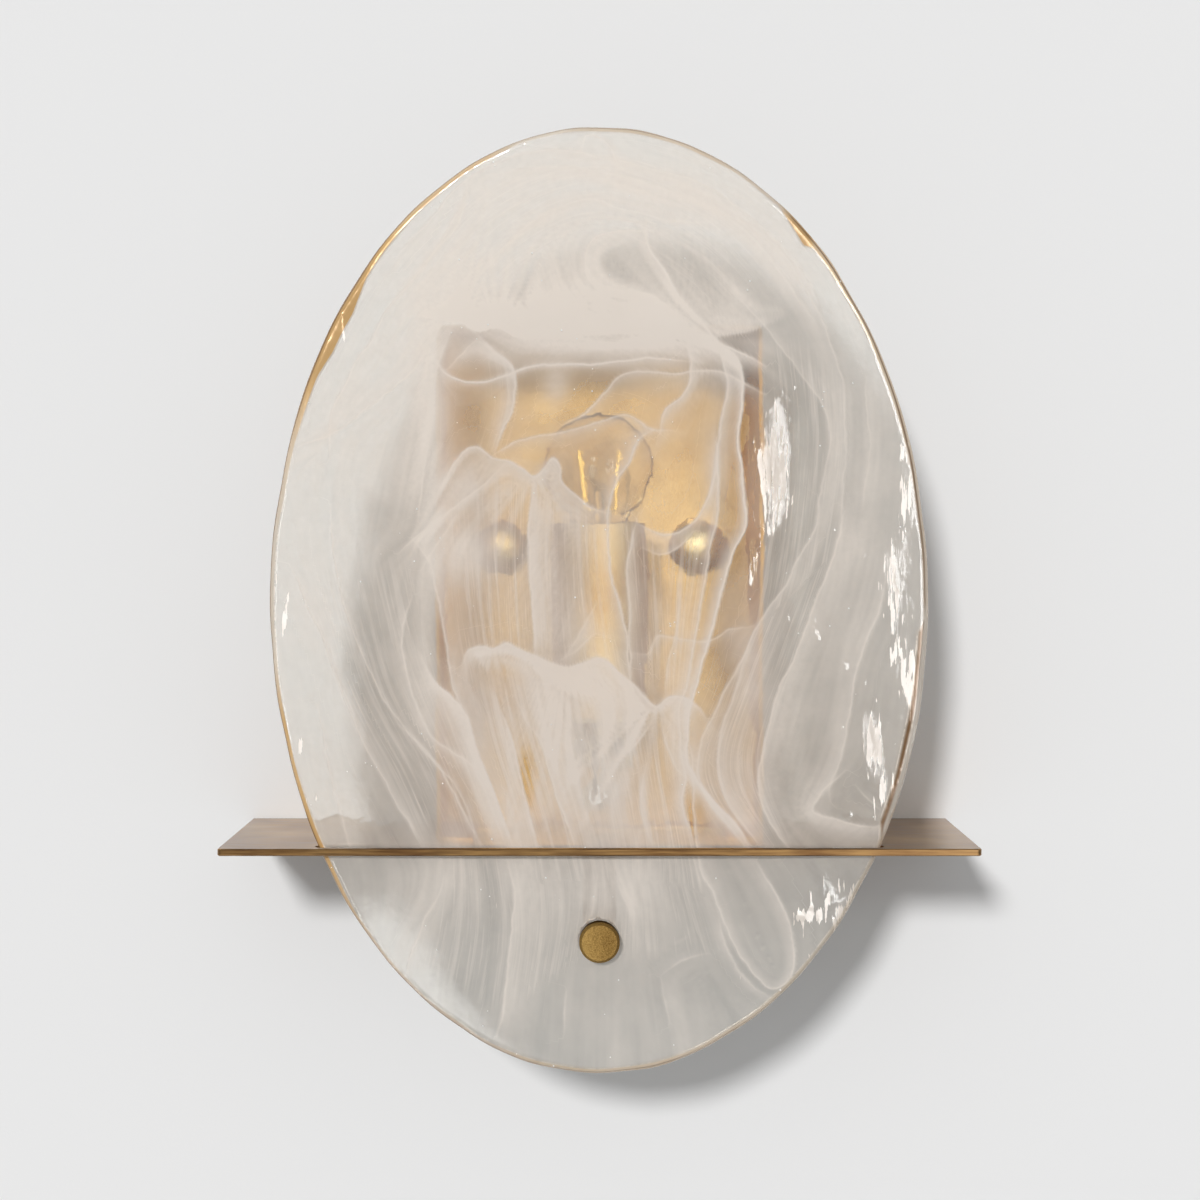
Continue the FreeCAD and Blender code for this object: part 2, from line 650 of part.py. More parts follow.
def arm_screws():
    """Screws from below through the tab into the shelf."""
    length = ARM_THICKNESS + SHELF_THICKNESS
    seat = SHELF_BOTTOM - ARM_THICKNESS
    screws = [
        screw((x, y, seat), (0, 0, 1), M4_DIAMETER, length, M4_HEAD, M4_HEAD_HEIGHT)
        for x, y in arm_screw_places()
    ]
    return Part.makeCompound(screws)


def arm_bush():
    """Threaded bush pressed through the arm, with a collar behind it."""
    bore = KNOB_SHANK / 2 + THREAD_CLEARANCE
    body = rod((0, ARM_FRONT, KNOB_LEVEL), (0, 1, 0), BUSH_DIAMETER / 2, BUSH_LENGTH)
    collar = rod((0, ARM_REAR, KNOB_LEVEL), (0, 1, 0), BUSH_COLLAR / 2, BUSH_LENGTH - ARM_THICKNESS)
    bush = body.fuse(collar).removeSplitter()
    return bush.cut(rod((0, ARM_FRONT - MARGIN, KNOB_LEVEL), (0, 1, 0), bore, BUSH_LENGTH + 2 * MARGIN))


def glass_sleeve():
    """Nylon sleeve in the glass's hole, round the knob's shank."""
    return tube((0, FRONT_SEAT, KNOB_LEVEL), (0, 1, 0), SLEEVE_OUTER, SLEEVE_BORE, ARM_FRONT - FRONT_SEAT)


def glass_rear_washer():
    """Rubber washer between the glass and the arm."""
    bore = SLEEVE_OUTER + SLEEVE_CLEARANCE
    return tube((0, REAR_SEAT, KNOB_LEVEL), (0, 1, 0), WASHER_DIAMETER / 2, bore, ARM_FRONT - REAR_SEAT)


def knob_washer():
    """Thin washer under the knob's head."""
    bore = KNOB_SHANK / 2 + SLEEVE_CLEARANCE
    return tube((0, FRONT_SEAT, KNOB_LEVEL), (0, -1, 0), WASHER_DIAMETER / 2, bore, KNOB_WASHER_THICKNESS)


def glass_knob():
    """Turned brass knob: a bevelled round head and a shank that reaches through to the bush's end."""
    head = rod((0, KNOB_REAR, KNOB_LEVEL), (0, -1, 0), KNOB_DIAMETER / 2, KNOB_THICKNESS)
    head = chamfer_far_end(head, V(0, -1, 0), KNOB_BEVEL)
    length = ARM_FRONT + BUSH_LENGTH - KNOB_REAR
    shank = rod((0, KNOB_REAR, KNOB_LEVEL), (0, 1, 0), KNOB_SHANK / 2, length)
    shank = chamfer_far_end(shank, V(0, 1, 0), KNOB_SHANK_TIP)
    return head.fuse(shank).removeSplitter()


def lamp_bracket():
    """Steel angle: one leg on the panel, the other forward under the lampholder."""
    half = BRACKET_WIDTH / 2
    reach = CUP_DIAMETER / 2 - CUP_WALL
    front = LAMP_Y - reach
    shelf = box((-half, front, BRACKET_UNDER), (half, PANEL_FRONT, CUP_FLOOR))
    leg_front = PANEL_FRONT - BRACKET_THICKNESS
    leg = box((-half, leg_front, BRACKET_UNDER - BRACKET_LEG), (half, PANEL_FRONT, CUP_FLOOR))
    bracket = shelf.fuse(leg).removeSplitter()
    corners = [e for e in edges_along(bracket, V(0, 0, 1)) if e.CenterOfMass.y < LAMP_Y]
    bracket = bracket.makeFillet(BRACKET_CORNER, corners)
    hole = NIPPLE_DIAMETER / 2 + THREAD_CLEARANCE
    depth = BRACKET_THICKNESS + 2 * MARGIN
    bracket = bracket.cut(rod((0, LAMP_Y, BRACKET_UNDER - MARGIN), (0, 0, 1), hole, depth))
    for x, z in bracket_screw_places():
        radius = M4_DIAMETER / 2 + THREAD_CLEARANCE
        bracket = bracket.cut(rod((x, leg_front - MARGIN, z), (0, 1, 0), radius, depth))
    return bracket


def bracket_screws():
    """Screws through the bracket and the panel."""
    seat = PANEL_FRONT - BRACKET_THICKNESS
    length = BRACKET_THICKNESS + HOUSING_SHEET + M4_NUT_HEIGHT
    screws = [
        screw((x, seat, z), (0, 1, 0), M4_DIAMETER, length, M4_HEAD, M4_HEAD_HEIGHT)
        for x, z in bracket_screw_places()
    ]
    return Part.makeCompound(screws)


def bracket_nuts():
    """Nuts of the bracket's screws, behind the panel."""
    bore = M4_DIAMETER / 2 + THREAD_CLEARANCE
    nuts = [
        hexagon((x, PANEL_REAR, z), (0, 1, 0), M4_NUT_FLATS, M4_NUT_HEIGHT, bore)
        for x, z in bracket_screw_places()
    ]
    return Part.makeCompound(nuts)


def lamp_nipple():
    """Threaded tube that joins bracket, cup and socket, and carries the leads."""
    start = BRACKET_UNDER - NIPPLE_BELOW
    length = CUP_FLOOR + CUP_WALL + NIPPLE_ABOVE - start
    return tube((0, LAMP_Y, start), (0, 0, 1), NIPPLE_DIAMETER / 2, NIPPLE_BORE / 2, length)


def nipple_nuts():
    """One nut under the bracket, one on the cup's floor."""
    bore = NIPPLE_DIAMETER / 2 + THREAD_CLEARANCE
    levels = (BRACKET_UNDER - NIPPLE_NUT_HEIGHT, CUP_FLOOR + CUP_WALL)
    nuts = [
        hexagon((0, LAMP_Y, level), (0, 0, 1), NIPPLE_NUT_FLATS, NIPPLE_NUT_HEIGHT, bore)
        for level in levels
    ]
    return Part.makeCompound(nuts)


def lampholder_cup():
    """Round brass cup, open at the top."""
    outer = CUP_DIAMETER / 2
    inner = outer - CUP_WALL
    hole = NIPPLE_DIAMETER / 2 + THREAD_CLEARANCE
    floor = CUP_FLOOR + CUP_WALL
    outside = [(hole, CUP_FLOOR), (outer, CUP_FLOOR), (outer, CUP_TOP)]
    profile = outside + [(inner, CUP_TOP), (inner, floor), (hole, floor)]
    cup = turned(profile, 0, LAMP_Y)
    rims = [e for e in cup.Edges if flat(e) and abs(e.CenterOfMass.z - CUP_TOP) < TINY]
    return cup.makeFillet(CUP_LIP_ROUND, rims)


SOCKET_TOP = CUP_TOP - SOCKET_TOP_INSET
SOCKET_FOOT = SOCKET_TOP - SOCKET_HEIGHT
WELL_FLOOR = SOCKET_TOP - SOCKET_WELL_DEPTH
NIPPLE_TOP = CUP_FLOOR + CUP_WALL + NIPPLE_ABOVE
CAP_FOOT = WELL_FLOOR + CONTACT_SHEET + CONTACT_RISE + CONTACT_GAP + TIP_HEIGHT + INSULATOR_HEIGHT


def socket_body():
    """Moulded insulating body: a well for the screw shell above, the nipple's seat below."""
    outer = SOCKET_DIAMETER / 2
    well = SOCKET_WELL / 2
    nipple = NIPPLE_DIAMETER / 2 + THREAD_CLEARANCE
    profile = [
        (nipple, SOCKET_FOOT),
        (outer, SOCKET_FOOT),
        (outer, SOCKET_TOP),
        (well, SOCKET_TOP),
        (well, WELL_FLOOR),
        (0, WELL_FLOOR),
        (0, NIPPLE_TOP),
        (nipple, NIPPLE_TOP),
    ]
    body = turned(profile, 0, LAMP_Y)
    for side in (-1, 1):
        start = (side * LEAD_SPACING / 2, LAMP_Y, NIPPLE_TOP - MARGIN)
        hole = rod(start, (0, 0, 1), LEAD_DIAMETER / 2 + LEAD_CLEARANCE, MARGIN + TERMINAL_HOLE_DEPTH)
        body = body.cut(hole)
    return body


def thread_waves(radius, foot, growth, upward):
    """Rounded thread crests on one side of a thin sleeve, as (radius, level) points."""
    points = []
    for k in range(THREAD_TURNS * THREAD_STEPS + 1):
        turn = k / THREAD_STEPS
        valley = THREAD_DEPTH * (1 + math.cos(2 * math.pi * turn)) / 2
        points.append((radius + growth - valley, foot + THREAD_PITCH * turn))
    return points if upward else points[::-1]


def thread_foot():
    """Where the rolled thread of the lamp's cap starts."""
    return CAP_FOOT + (CAP_HEIGHT - THREAD_PITCH * THREAD_TURNS) / 2


def socket_shell():
    """Nickel-plated screw shell: a thin sleeve with rolled thread crests and a turned-in foot."""
    radius = CAP_DIAMETER / 2
    inner = thread_waves(radius, thread_foot(), SHELL_GAP, False)
    outer = thread_waves(radius, thread_foot(), SHELL_GAP + SHELL_WALL, True)
    top = thread_foot() + THREAD_PITCH * THREAD_TURNS + SHELL_LIP
    foot_inner = radius - THREAD_DEPTH + SHELL_GAP
    foot_outer = foot_inner + SHELL_WALL
    turned_in = foot_inner - SHELL_TURN_IN
    start = [(turned_in, WELL_FLOOR), (foot_outer, WELL_FLOOR)]
    lip = [(foot_outer, top), (foot_inner, top)]
    end = [(foot_inner, WELL_FLOOR + SHELL_WALL), (turned_in, WELL_FLOOR + SHELL_WALL)]
    return turned(start + outer + lip + inner + end, 0, LAMP_Y)


def socket_contact():
    """Sprung centre contact: a strip folded up in the middle of the well's floor."""
    floor = WELL_FLOOR
    crest = floor + CONTACT_SHEET + CONTACT_RISE
    foot = CONTACT_FOOT
    half = CONTACT_WIDTH / 2
    profile = [
        (-half - foot, floor),
        (-half, floor),
        (-CONTACT_RAMP_END, crest - CONTACT_SHEET),
        (half, crest - CONTACT_SHEET),
        (half, crest),
        (-CONTACT_RAMP_END - CONTACT_SHEET / 2, crest),
        (-half - CONTACT_SHEET / 2, floor + CONTACT_SHEET),
        (-half - foot, floor + CONTACT_SHEET),
    ]
    points = [V(x, LAMP_Y - half, z) for x, z in profile]
    return Part.Face(Part.makePolygon(points + points[:1])).extrude(V(0, CONTACT_WIDTH, 0))


def bulb_cap():
    """Screw cap: a thin brass sleeve with rolled thread crests, closed below round the insulator."""
    radius = CAP_DIAMETER / 2
    plain = radius - THREAD_DEPTH
    outer = thread_waves(radius, thread_foot(), 0, True)
    inner = thread_waves(radius, thread_foot(), -CAP_WALL, False)
    top = CAP_FOOT + CAP_HEIGHT
    hole = TIP_DIAMETER / 2 + CAP_HOLE_GAP
    start = [(hole, CAP_FOOT), (plain, CAP_FOOT)]
    lip = [(plain, top), (plain - CAP_WALL, top)]
    end = [(plain - CAP_WALL, CAP_FOOT + CAP_WALL), (hole, CAP_FOOT + CAP_WALL)]
    return turned(start + outer + lip + inner + end, 0, LAMP_Y)


def bulb_insulator():
    """Black glass cone between the cap and the tip contact."""
    low = CAP_FOOT - INSULATOR_HEIGHT
    wide = CAP_DIAMETER / 2 - THREAD_DEPTH - INSULATOR_INSET
    tip = TIP_DIAMETER / 2
    profile = [(0, low), (tip, low), (wide, CAP_FOOT), (0, CAP_FOOT)]
    return turned(profile, 0, LAMP_Y)


def bulb_contact():
    """Domed tip contact under the insulator."""
    high = CAP_FOOT - INSULATOR_HEIGHT
    low = high - TIP_HEIGHT
    radius = TIP_DIAMETER / 2
    return turned([(0, low), (TIP_FLAT / 2, low), (radius, high), (0, high)], 0, LAMP_Y)


def neck_foot():
    """Where the lamp's glass starts inside its cap."""
    return CAP_FOOT + CAP_HEIGHT - NECK_IN_CAP


def bulb_envelope():
    """Clear blown glass: a globe drawn in to a neck that stands in the cap."""
    middle = CAP_FOOT + GLOBE_RISE
    foot = neck_foot()
    flare = CAP_FOOT + CAP_HEIGHT + NECK_ABOVE_CAP

    def skin(inset):
        radius = GLOBE_DIAMETER / 2 - inset
        stem = BULB_NECK / 2 - inset
        shoulder = stem + NECK_FLARE
        level = middle - math.sqrt(radius**2 - shoulder**2)
        return [
            Part.makeLine(V(stem, 0, foot), V(stem, 0, flare)),
            Part.makeLine(V(stem, 0, flare), V(shoulder, 0, level)),
            Part.Arc(V(shoulder, 0, level), V(radius, 0, middle), V(0, 0, middle + radius)).toShape(),
        ]

    top = middle + GLOBE_DIAMETER / 2
    neck = BULB_NECK / 2
    crown = Part.makeLine(V(0, 0, top), V(0, 0, top - BULB_WALL))
    base = Part.makeLine(V(neck, 0, foot), V(neck - BULB_WALL, 0, foot))
    face = Part.Face(Part.Wire(Part.__sortEdges__(skin(0) + skin(BULB_WALL) + [crown, base])))
    envelope = face.revolve(V(0, 0, 0), V(0, 0, 1), 360)
    envelope.translate(V(0, LAMP_Y, 0))
    return envelope


def bulb_stem():
    """Glass mount inside the lamp: a flared foot in the neck and a slim column."""
    foot = neck_foot()
    column = STEM_DIAMETER / 2
    wide = BULB_NECK / 2 - BULB_WALL
    profile = [
        (0, foot),
        (wide, foot),
        (wide, foot + STEM_DISC),
        (STEM_FLARE / 2, foot + STEM_FLARE_RISE),
        (column, foot + STEM_TAPER_RISE),
        (column, foot + STEM_HEIGHT),
        (0, foot + STEM_HEIGHT),
    ]
    return turned(profile, 0, LAMP_Y)


def bulb_filaments():
    """Upright filament rods round the stem, each on its own wire from the stem's head."""
    low = neck_foot() + STEM_HEIGHT - FILAMENT_BELOW_HEAD
    axis = V(0, LAMP_Y, low)
    rods = []
    for k in range(FILAMENTS):
        turn = math.radians(360 * k / FILAMENTS + FILAMENT_TURN)
        way = V(math.cos(turn), math.sin(turn), 0)
        start = axis + way * FILAMENT_CIRCLE_LOW
        end = axis + way * FILAMENT_CIRCLE_TOP + V(0, 0, FILAMENT_LENGTH)
        bar = rod(start, (end - start).normalize(), FILAMENT_DIAMETER / 2, (end - start).Length)
        hub = STEM_DIAMETER / 2
        wire = rod(axis + way * hub, way, FILAMENT_WIRE / 2, FILAMENT_CIRCLE_LOW - hub)
        rods.append(bar.fuse(wire).removeSplitter())
    return Part.makeCompound(rods)


def wire_bushing():
    """Snap-in nylon bushing in the panel's wire hole."""
    level = -BUSHING_DROP
    flange = rod((0, PANEL_FRONT, level), (0, -1, 0), BUSHING_FLANGE / 2, BUSHING_FLANGE_THICKNESS)
    body = rod((0, PANEL_FRONT, level), (0, 1, 0), BUSHING_BODY / 2, HOUSING_SHEET)
    lip = rod((0, PANEL_REAR, level), (0, 1, 0), BUSHING_LIP / 2, BUSHING_FLANGE_THICKNESS)
    bushing = body.multiFuse([flange, lip]).removeSplitter()
    start = (0, PANEL_FRONT - BUSHING_FLANGE_THICKNESS - MARGIN, level)
    length = HOUSING_SHEET + 2 * BUSHING_FLANGE_THICKNESS + 2 * MARGIN
    return bushing.cut(rod(start, (0, 1, 0), BUSHING_BORE / 2, length))


def terminal_block():
    """Two-pole block on the panel's rear face, with a turret over each pole."""
    top = -BLOCK_DROP
    low = top - BLOCK_HEIGHT
    rear = PANEL_REAR + BLOCK_DEPTH
    half = BLOCK_WIDTH / 2
    block = box((-half, PANEL_REAR, low), (half, rear, top))
    middle = block_middle()
    lead_y = block_lead_y()
    for side in (-1, 1):
        x = side * BLOCK_POLE_SPACING / 2
        for level in (middle - BLOCK_HEIGHT / 4, middle + BLOCK_HEIGHT / 4):
            outer = BLOCK_TURRET_DIAMETER / 2
            turret = tube((x, rear, level), (0, 1, 0), outer, BLOCK_TURRET_BORE / 2, BLOCK_TURRET_HEIGHT)
            block = block.fuse(turret)
        radius = LEAD_DIAMETER / 2 + LEAD_CLEARANCE
        depth = MARGIN + TERMINAL_HOLE_DEPTH
        internal = rod((x, lead_y, low - MARGIN), (0, 0, 1), radius, depth)
        supply = rod((x, lead_y, top + MARGIN), (0, 0, -1), radius, depth)
        block = block.cut(internal).cut(supply)
    bore_radius = BLOCK_SCREW_DIAMETER / 2 + THREAD_CLEARANCE
    bore = rod((0, PANEL_REAR - MARGIN, middle), (0, 1, 0), bore_radius, BLOCK_DEPTH + 2 * MARGIN)
    return block.cut(bore).removeSplitter()


def block_lead_y():
    """Depth at which the leads enter the terminal block."""
    return PANEL_REAR + BLOCK_LEAD_DEPTH


def block_screw():
    """Screw through the terminal block into the panel, its head towards the wall."""
    seat = (0, PANEL_REAR + BLOCK_DEPTH, block_middle())
    length = BLOCK_DEPTH + HOUSING_SHEET
    return screw(seat, (0, -1, 0), BLOCK_SCREW_DIAMETER, length, BLOCK_SCREW_HEAD, BLOCK_SCREW_HEAD_HEIGHT)


def routed(points, bends, radius):
    """A round lead along straight runs joined by tangent arcs, one bend radius for each inner point."""
    edges = []
    here = points[0]
    for k, bend in enumerate(bends, start=1):
        into = (points[k] - points[k - 1]).normalize()
        out = (points[k + 1] - points[k]).normalize()
        turn = into.getAngle(out)
        back = bend * math.tan(turn / 2)
        start = points[k] - into * back
        end = points[k] + out * back
        inward = (out - into).normalize()
        middle = points[k] + inward * (bend / math.cos(turn / 2) - bend)
        edges.append(Part.makeLine(here, start))
        edges.append(Part.Arc(start, middle, end).toShape())
        here = end
    edges.append(Part.makeLine(here, points[-1]))
    path = Part.Wire(edges)
    first = (points[1] - points[0]).normalize()
    section = Part.Wire(Part.makeCircle(radius, points[0], first))
    lead = path.makePipeShell([section], True, False)
    drawn = lead.Volume / (math.pi * radius**2)
    print("lead length", round(path.Length, 1), "volume over section", round(drawn, 1), "bends", bends)
    return lead


def lead(side):
    """One internal lead: from the socket down the nipple, back through the bushing and up to the block."""
    x = side * LEAD_SPACING / 2
    pole = side * BLOCK_POLE_SPACING / 2
    level = -BUSHING_DROP
    rear = block_lead_y()
    block_low = -BLOCK_DROP - BLOCK_HEIGHT
    spread_high = block_low - LEAD_DIAMETER
    spread_low = spread_high - 2 * LEAD_REAR_BEND
    points = [
        V(x, LAMP_Y, NIPPLE_TOP + TERMINAL_HOLE_DEPTH),
        V(x, LAMP_Y, level),
        V(x, rear, level),
        V(x, rear, spread_low),
        V(pole, rear, spread_high),
        V(pole, rear, block_low + TERMINAL_HOLE_DEPTH),
    ]
    bends = [LEAD_BEND, LEAD_REAR_BEND, SPREAD_BEND, SPREAD_BEND]
    return routed(points, bends, LEAD_DIAMETER / 2)


NODES = {
    "mounting_plate": mounting_plate,
    "mounting_studs": mounting_studs,
    "ground_screw": ground_screw,
    "back_panel": back_panel,
    "surround_band": surround_band,
    "cap_nut_washers": cap_nut_washers,
    "cap_nuts": cap_nuts,
    "shelf_plate": shelf_plate,
    "shelf_screws": shelf_screws,
    "glass_shell": glass_shell,
    "slot_pads": slot_pads,
    "glass_arm": glass_arm,
    "arm_screws": arm_screws,
    "arm_bush": arm_bush,
    "glass_sleeve": glass_sleeve,
    "glass_rear_washer": glass_rear_washer,
    "knob_washer": knob_washer,
    "glass_knob": glass_knob,
    "lamp_bracket": lamp_bracket,
    "bracket_screws": bracket_screws,
    "bracket_nuts": bracket_nuts,
    "lamp_nipple": lamp_nipple,
    "nipple_nuts": nipple_nuts,
    "lampholder_cup": lampholder_cup,
    "socket_body": socket_body,
    "socket_shell": socket_shell,
    "socket_contact": socket_contact,
    "bulb_cap": bulb_cap,
    "bulb_insulator": bulb_insulator,
    "bulb_contact": bulb_contact,
    "bulb_envelope": bulb_envelope,
    "bulb_stem": bulb_stem,
    "bulb_filaments": bulb_filaments,
    "wire_bushing": wire_bushing,
    "terminal_block": terminal_block,
    "block_screw": block_screw,
    "live_lead": lambda: lead(-1),
    "neutral_lead": lambda: lead(1),
}


def main():
    """Writes one STEP file for each piece."""
    os.makedirs("parts", exist_ok=True)
    for name, make in NODES.items():
        shape = make()
        state = "valid" if shape.isValid() else "INVALID"
        print(name, len(shape.Solids), "solids", round(shape.Volume, 1), state)
        shape.exportStep(f"parts/{name}.step")


main()
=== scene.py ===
import math

import bmesh
import bpy
import numpy as np
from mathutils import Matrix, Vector
from mathutils.kdtree import KDTree


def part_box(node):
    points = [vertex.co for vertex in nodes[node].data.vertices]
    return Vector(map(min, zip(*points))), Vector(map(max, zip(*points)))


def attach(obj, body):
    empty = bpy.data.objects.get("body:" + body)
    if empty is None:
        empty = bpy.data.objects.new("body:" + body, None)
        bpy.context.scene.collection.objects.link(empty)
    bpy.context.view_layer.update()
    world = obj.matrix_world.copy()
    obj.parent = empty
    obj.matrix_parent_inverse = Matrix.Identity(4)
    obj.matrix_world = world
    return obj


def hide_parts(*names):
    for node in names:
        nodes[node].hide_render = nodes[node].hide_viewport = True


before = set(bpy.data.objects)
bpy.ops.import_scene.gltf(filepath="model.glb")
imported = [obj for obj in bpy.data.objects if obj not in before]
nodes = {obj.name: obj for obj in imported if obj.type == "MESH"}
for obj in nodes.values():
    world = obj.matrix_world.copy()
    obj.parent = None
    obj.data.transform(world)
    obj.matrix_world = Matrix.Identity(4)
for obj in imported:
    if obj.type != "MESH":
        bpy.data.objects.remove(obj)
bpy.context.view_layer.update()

MM = 0.001

# ---- Wall, camera and light ----
# A pale painted wall, open where the wall box sits and see-through from behind, so that the rear shows.
# The camera stands square on, a metre away. A key lamp high on the left throws the soft shadow, and a
# narrow strip lamp on the right sparks in the glass.


def linear(colour):
    """An sRGB hex colour as linear RGBA."""
    parts = [int(colour[place:place + 2], 16) / 255 for place in (1, 3, 5)]
    return tuple(p / 12.92 if p <= 0.04045 else ((p + 0.055) / 1.055) ** 2.4 for p in parts) + (1.0,)


def add(tree, kind, inputs=None, **settings):
    """Adds one node. Settings are its properties. Inputs are values, or what to link from: a socket,
    or a node for its first output."""
    node = tree.nodes.new(kind)
    for name, value in settings.items():
        setattr(node, name, value)
    for key, value in (inputs or {}).items():
        if isinstance(value, bpy.types.Node):
            value = value.outputs[0]
        if isinstance(value, bpy.types.NodeSocket):
            tree.links.new(value, node.inputs[key])
        else:
            node.inputs[key].default_value = value
    return node


def new_material(name):
    """An empty node material and its tree."""
    material = bpy.data.materials.new(name)
    material.use_nodes = True
    material.node_tree.nodes.clear()
    return material, material.node_tree


def link_object(name, mesh):
    """Puts a mesh in the scene at the origin."""
    piece = bpy.data.objects.new(name, mesh)
    bpy.context.scene.collection.objects.link(piece)
    return piece


WALL_HALF = 4.0
WALL_GAP = 0.5 * MM
ROLLER_MARKS = 900.0  # marks of the paint roller to a metre
WALL_PAINT = "#E7E7E7"
BOX_INSET = 2.0 * MM  # the wall's opening inside the housing's outline

band_low, band_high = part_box("surround_band")
left, right = band_low.x + BOX_INSET, band_high.x - BOX_INSET
foot, head = band_low.z + BOX_INSET, band_high.z - BOX_INSET
wall_mesh = bpy.data.meshes.new("painted_wall")
wall_corners = [(-WALL_HALF, WALL_GAP, -WALL_HALF), (WALL_HALF, WALL_GAP, -WALL_HALF),
                (WALL_HALF, WALL_GAP, WALL_HALF), (-WALL_HALF, WALL_GAP, WALL_HALF),
                (left, WALL_GAP, foot), (right, WALL_GAP, foot),
                (right, WALL_GAP, head), (left, WALL_GAP, head)]
wall_mesh.from_pydata(wall_corners, [], [(k, (k + 1) % 4, (k + 1) % 4 + 4, k + 4) for k in range(4)])
wall = link_object("painted_wall", wall_mesh)
wall_paint, tree = new_material("matt_wall_paint")
paint_place = add(tree, "ShaderNodeTexCoord").outputs["Object"]
paint_roll = add(tree, "ShaderNodeTexNoise", {"Vector": paint_place, "Scale": ROLLER_MARKS, "Detail": 2.0})
paint_bump = add(tree, "ShaderNodeBump", {"Height": paint_roll.outputs["Fac"], "Strength": 0.15,
                                          "Distance": 0.2 * MM})
paint = add(tree, "ShaderNodeBsdfDiffuse", {"Color": linear(WALL_PAINT), "Normal": paint_bump})
wall_side = add(tree, "ShaderNodeNewGeometry").outputs["Backfacing"]
see_through = add(tree, "ShaderNodeBsdfTransparent")
wall_mix = add(tree, "ShaderNodeMixShader", {0: wall_side, 1: paint, 2: see_through})
add(tree, "ShaderNodeOutputMaterial", {"Surface": wall_mix})
wall_mesh.materials.append(wall_paint)

EYE = Vector((0.0, -1.050, 0.009))
FILM_WIDE = 36.0  # mm
LENS = 68.2  # mm
SHIFT_DOWN = -0.0617
SHIFT_ACROSS = 0.0004

camera_data = bpy.data.cameras.new("camera")
camera_data.lens = LENS
camera_data.sensor_width = FILM_WIDE
camera_data.shift_x = SHIFT_ACROSS
camera_data.shift_y = SHIFT_DOWN
camera = bpy.data.objects.new("camera", camera_data)
camera.location = EYE
camera.rotation_euler = (math.radians(90), 0, 0)
bpy.context.scene.collection.objects.link(camera)
bpy.context.scene.camera = camera

KEY_STRENGTH = 2.0
KEY_SPREAD = 8.0  # degrees across, for the shadow's soft edge
KEY_WAY = (0.26, 1.0, -0.375)  # down from the upper left, towards the wall
SPARK_PLACE = (0.45, -1.27, 0.10)
SPARK_TARGET = (0.07, -0.09, 0.0)
SPARK_SIZE = (0.34, 0.60)
SPARK_WATTS = 8.5

key_data = bpy.data.lights.new("key_lamp", "SUN")
key_data.energy = KEY_STRENGTH
key_data.angle = math.radians(KEY_SPREAD)
spark_data = bpy.data.lights.new("spark_lamp", "AREA")
spark_data.shape = "RECTANGLE"
spark_data.size, spark_data.size_y = SPARK_SIZE
spark_data.energy = SPARK_WATTS
spark_way = Vector(SPARK_TARGET) - Vector(SPARK_PLACE)
for data, place, way in ((key_data, (0, 0, 0), Vector(KEY_WAY)), (spark_data, SPARK_PLACE, spark_way)):
    lamp = bpy.data.objects.new(data.name, data)
    lamp.location = place
    lamp.rotation_euler = way.to_track_quat("-Z", "Y").to_euler()
    lamp.visible_diffuse = data == key_data  # the strip lamp shows in gloss alone
    bpy.context.scene.collection.objects.link(lamp)

# The studio round the fitting: pale above and beside, greyer low down and behind the camera. The
# camera and the views through glass see it white.
ROOM_BEHIND = (0.36, 0.52)  # brightness right behind the camera, and towards its sides
ROOM_RISE = (0.88, 1.05)  # share of that low down, and overhead
SEEN_ROOM = "#F0F0EE"
world = bpy.data.worlds.new("studio")
bpy.context.scene.world = world
world.use_nodes = True
tree = world.node_tree
tree.nodes.clear()
look_way = add(tree, "ShaderNodeTexCoord").outputs["Generated"]
way_parts = add(tree, "ShaderNodeSeparateXYZ", {0: look_way})
behind_camera = add(tree, "ShaderNodeMapRange", {"Value": way_parts.outputs["Y"], "From Min": -1.0,
                                                 "From Max": -0.55, "To Min": ROOM_BEHIND[0],
                                                 "To Max": ROOM_BEHIND[1]})
height_share = add(tree, "ShaderNodeMapRange", {"Value": way_parts.outputs["Z"], "From Min": -0.7,
                                                "From Max": 0.8, "To Min": ROOM_RISE[0],
                                                "To Max": ROOM_RISE[1]})
room_level = add(tree, "ShaderNodeMath", {0: behind_camera, 1: height_share}, operation="MULTIPLY")
room_light = add(tree, "ShaderNodeBackground", {"Color": linear("#FFFFFF"), "Strength": room_level})
seen_light = add(tree, "ShaderNodeBackground", {"Color": linear(SEEN_ROOM), "Strength": 1.0})
ray = add(tree, "ShaderNodeLightPath").outputs
seen = add(tree, "ShaderNodeMath", {0: ray["Is Camera Ray"], 1: ray["Is Transmission Ray"]},
           operation="MAXIMUM")
room = add(tree, "ShaderNodeMixShader", {0: seen, 1: room_light, 2: seen_light})
add(tree, "ShaderNodeOutputWorld", {"Surface": room})

bpy.context.scene.view_settings.view_transform = "Standard"

# ---- Mounting plate, studs and ground screw ----
# A zinc-plated steel plate that screws to the wall box, with two M5 weld studs for the housing and a
# green earthing screw. Yellow passivation gives the zinc a mottled straw-coloured satin.


def place_in_mm(tree, stretch=(1, 1, 1)):
    """Object coordinates in millimetres, stretched along an axis where a grain runs."""
    scale = [s / MM for s in stretch]
    object_place = add(tree, "ShaderNodeTexCoord").outputs["Object"]
    return add(tree, "ShaderNodeMapping", {"Vector": object_place, "Scale": scale})


CLOUD_GRAIN = 0.03  # a metal's broad clouds come every 33 mm
FRONT_FACING = -0.7  # a face whose normal points further than this towards the viewer is a front


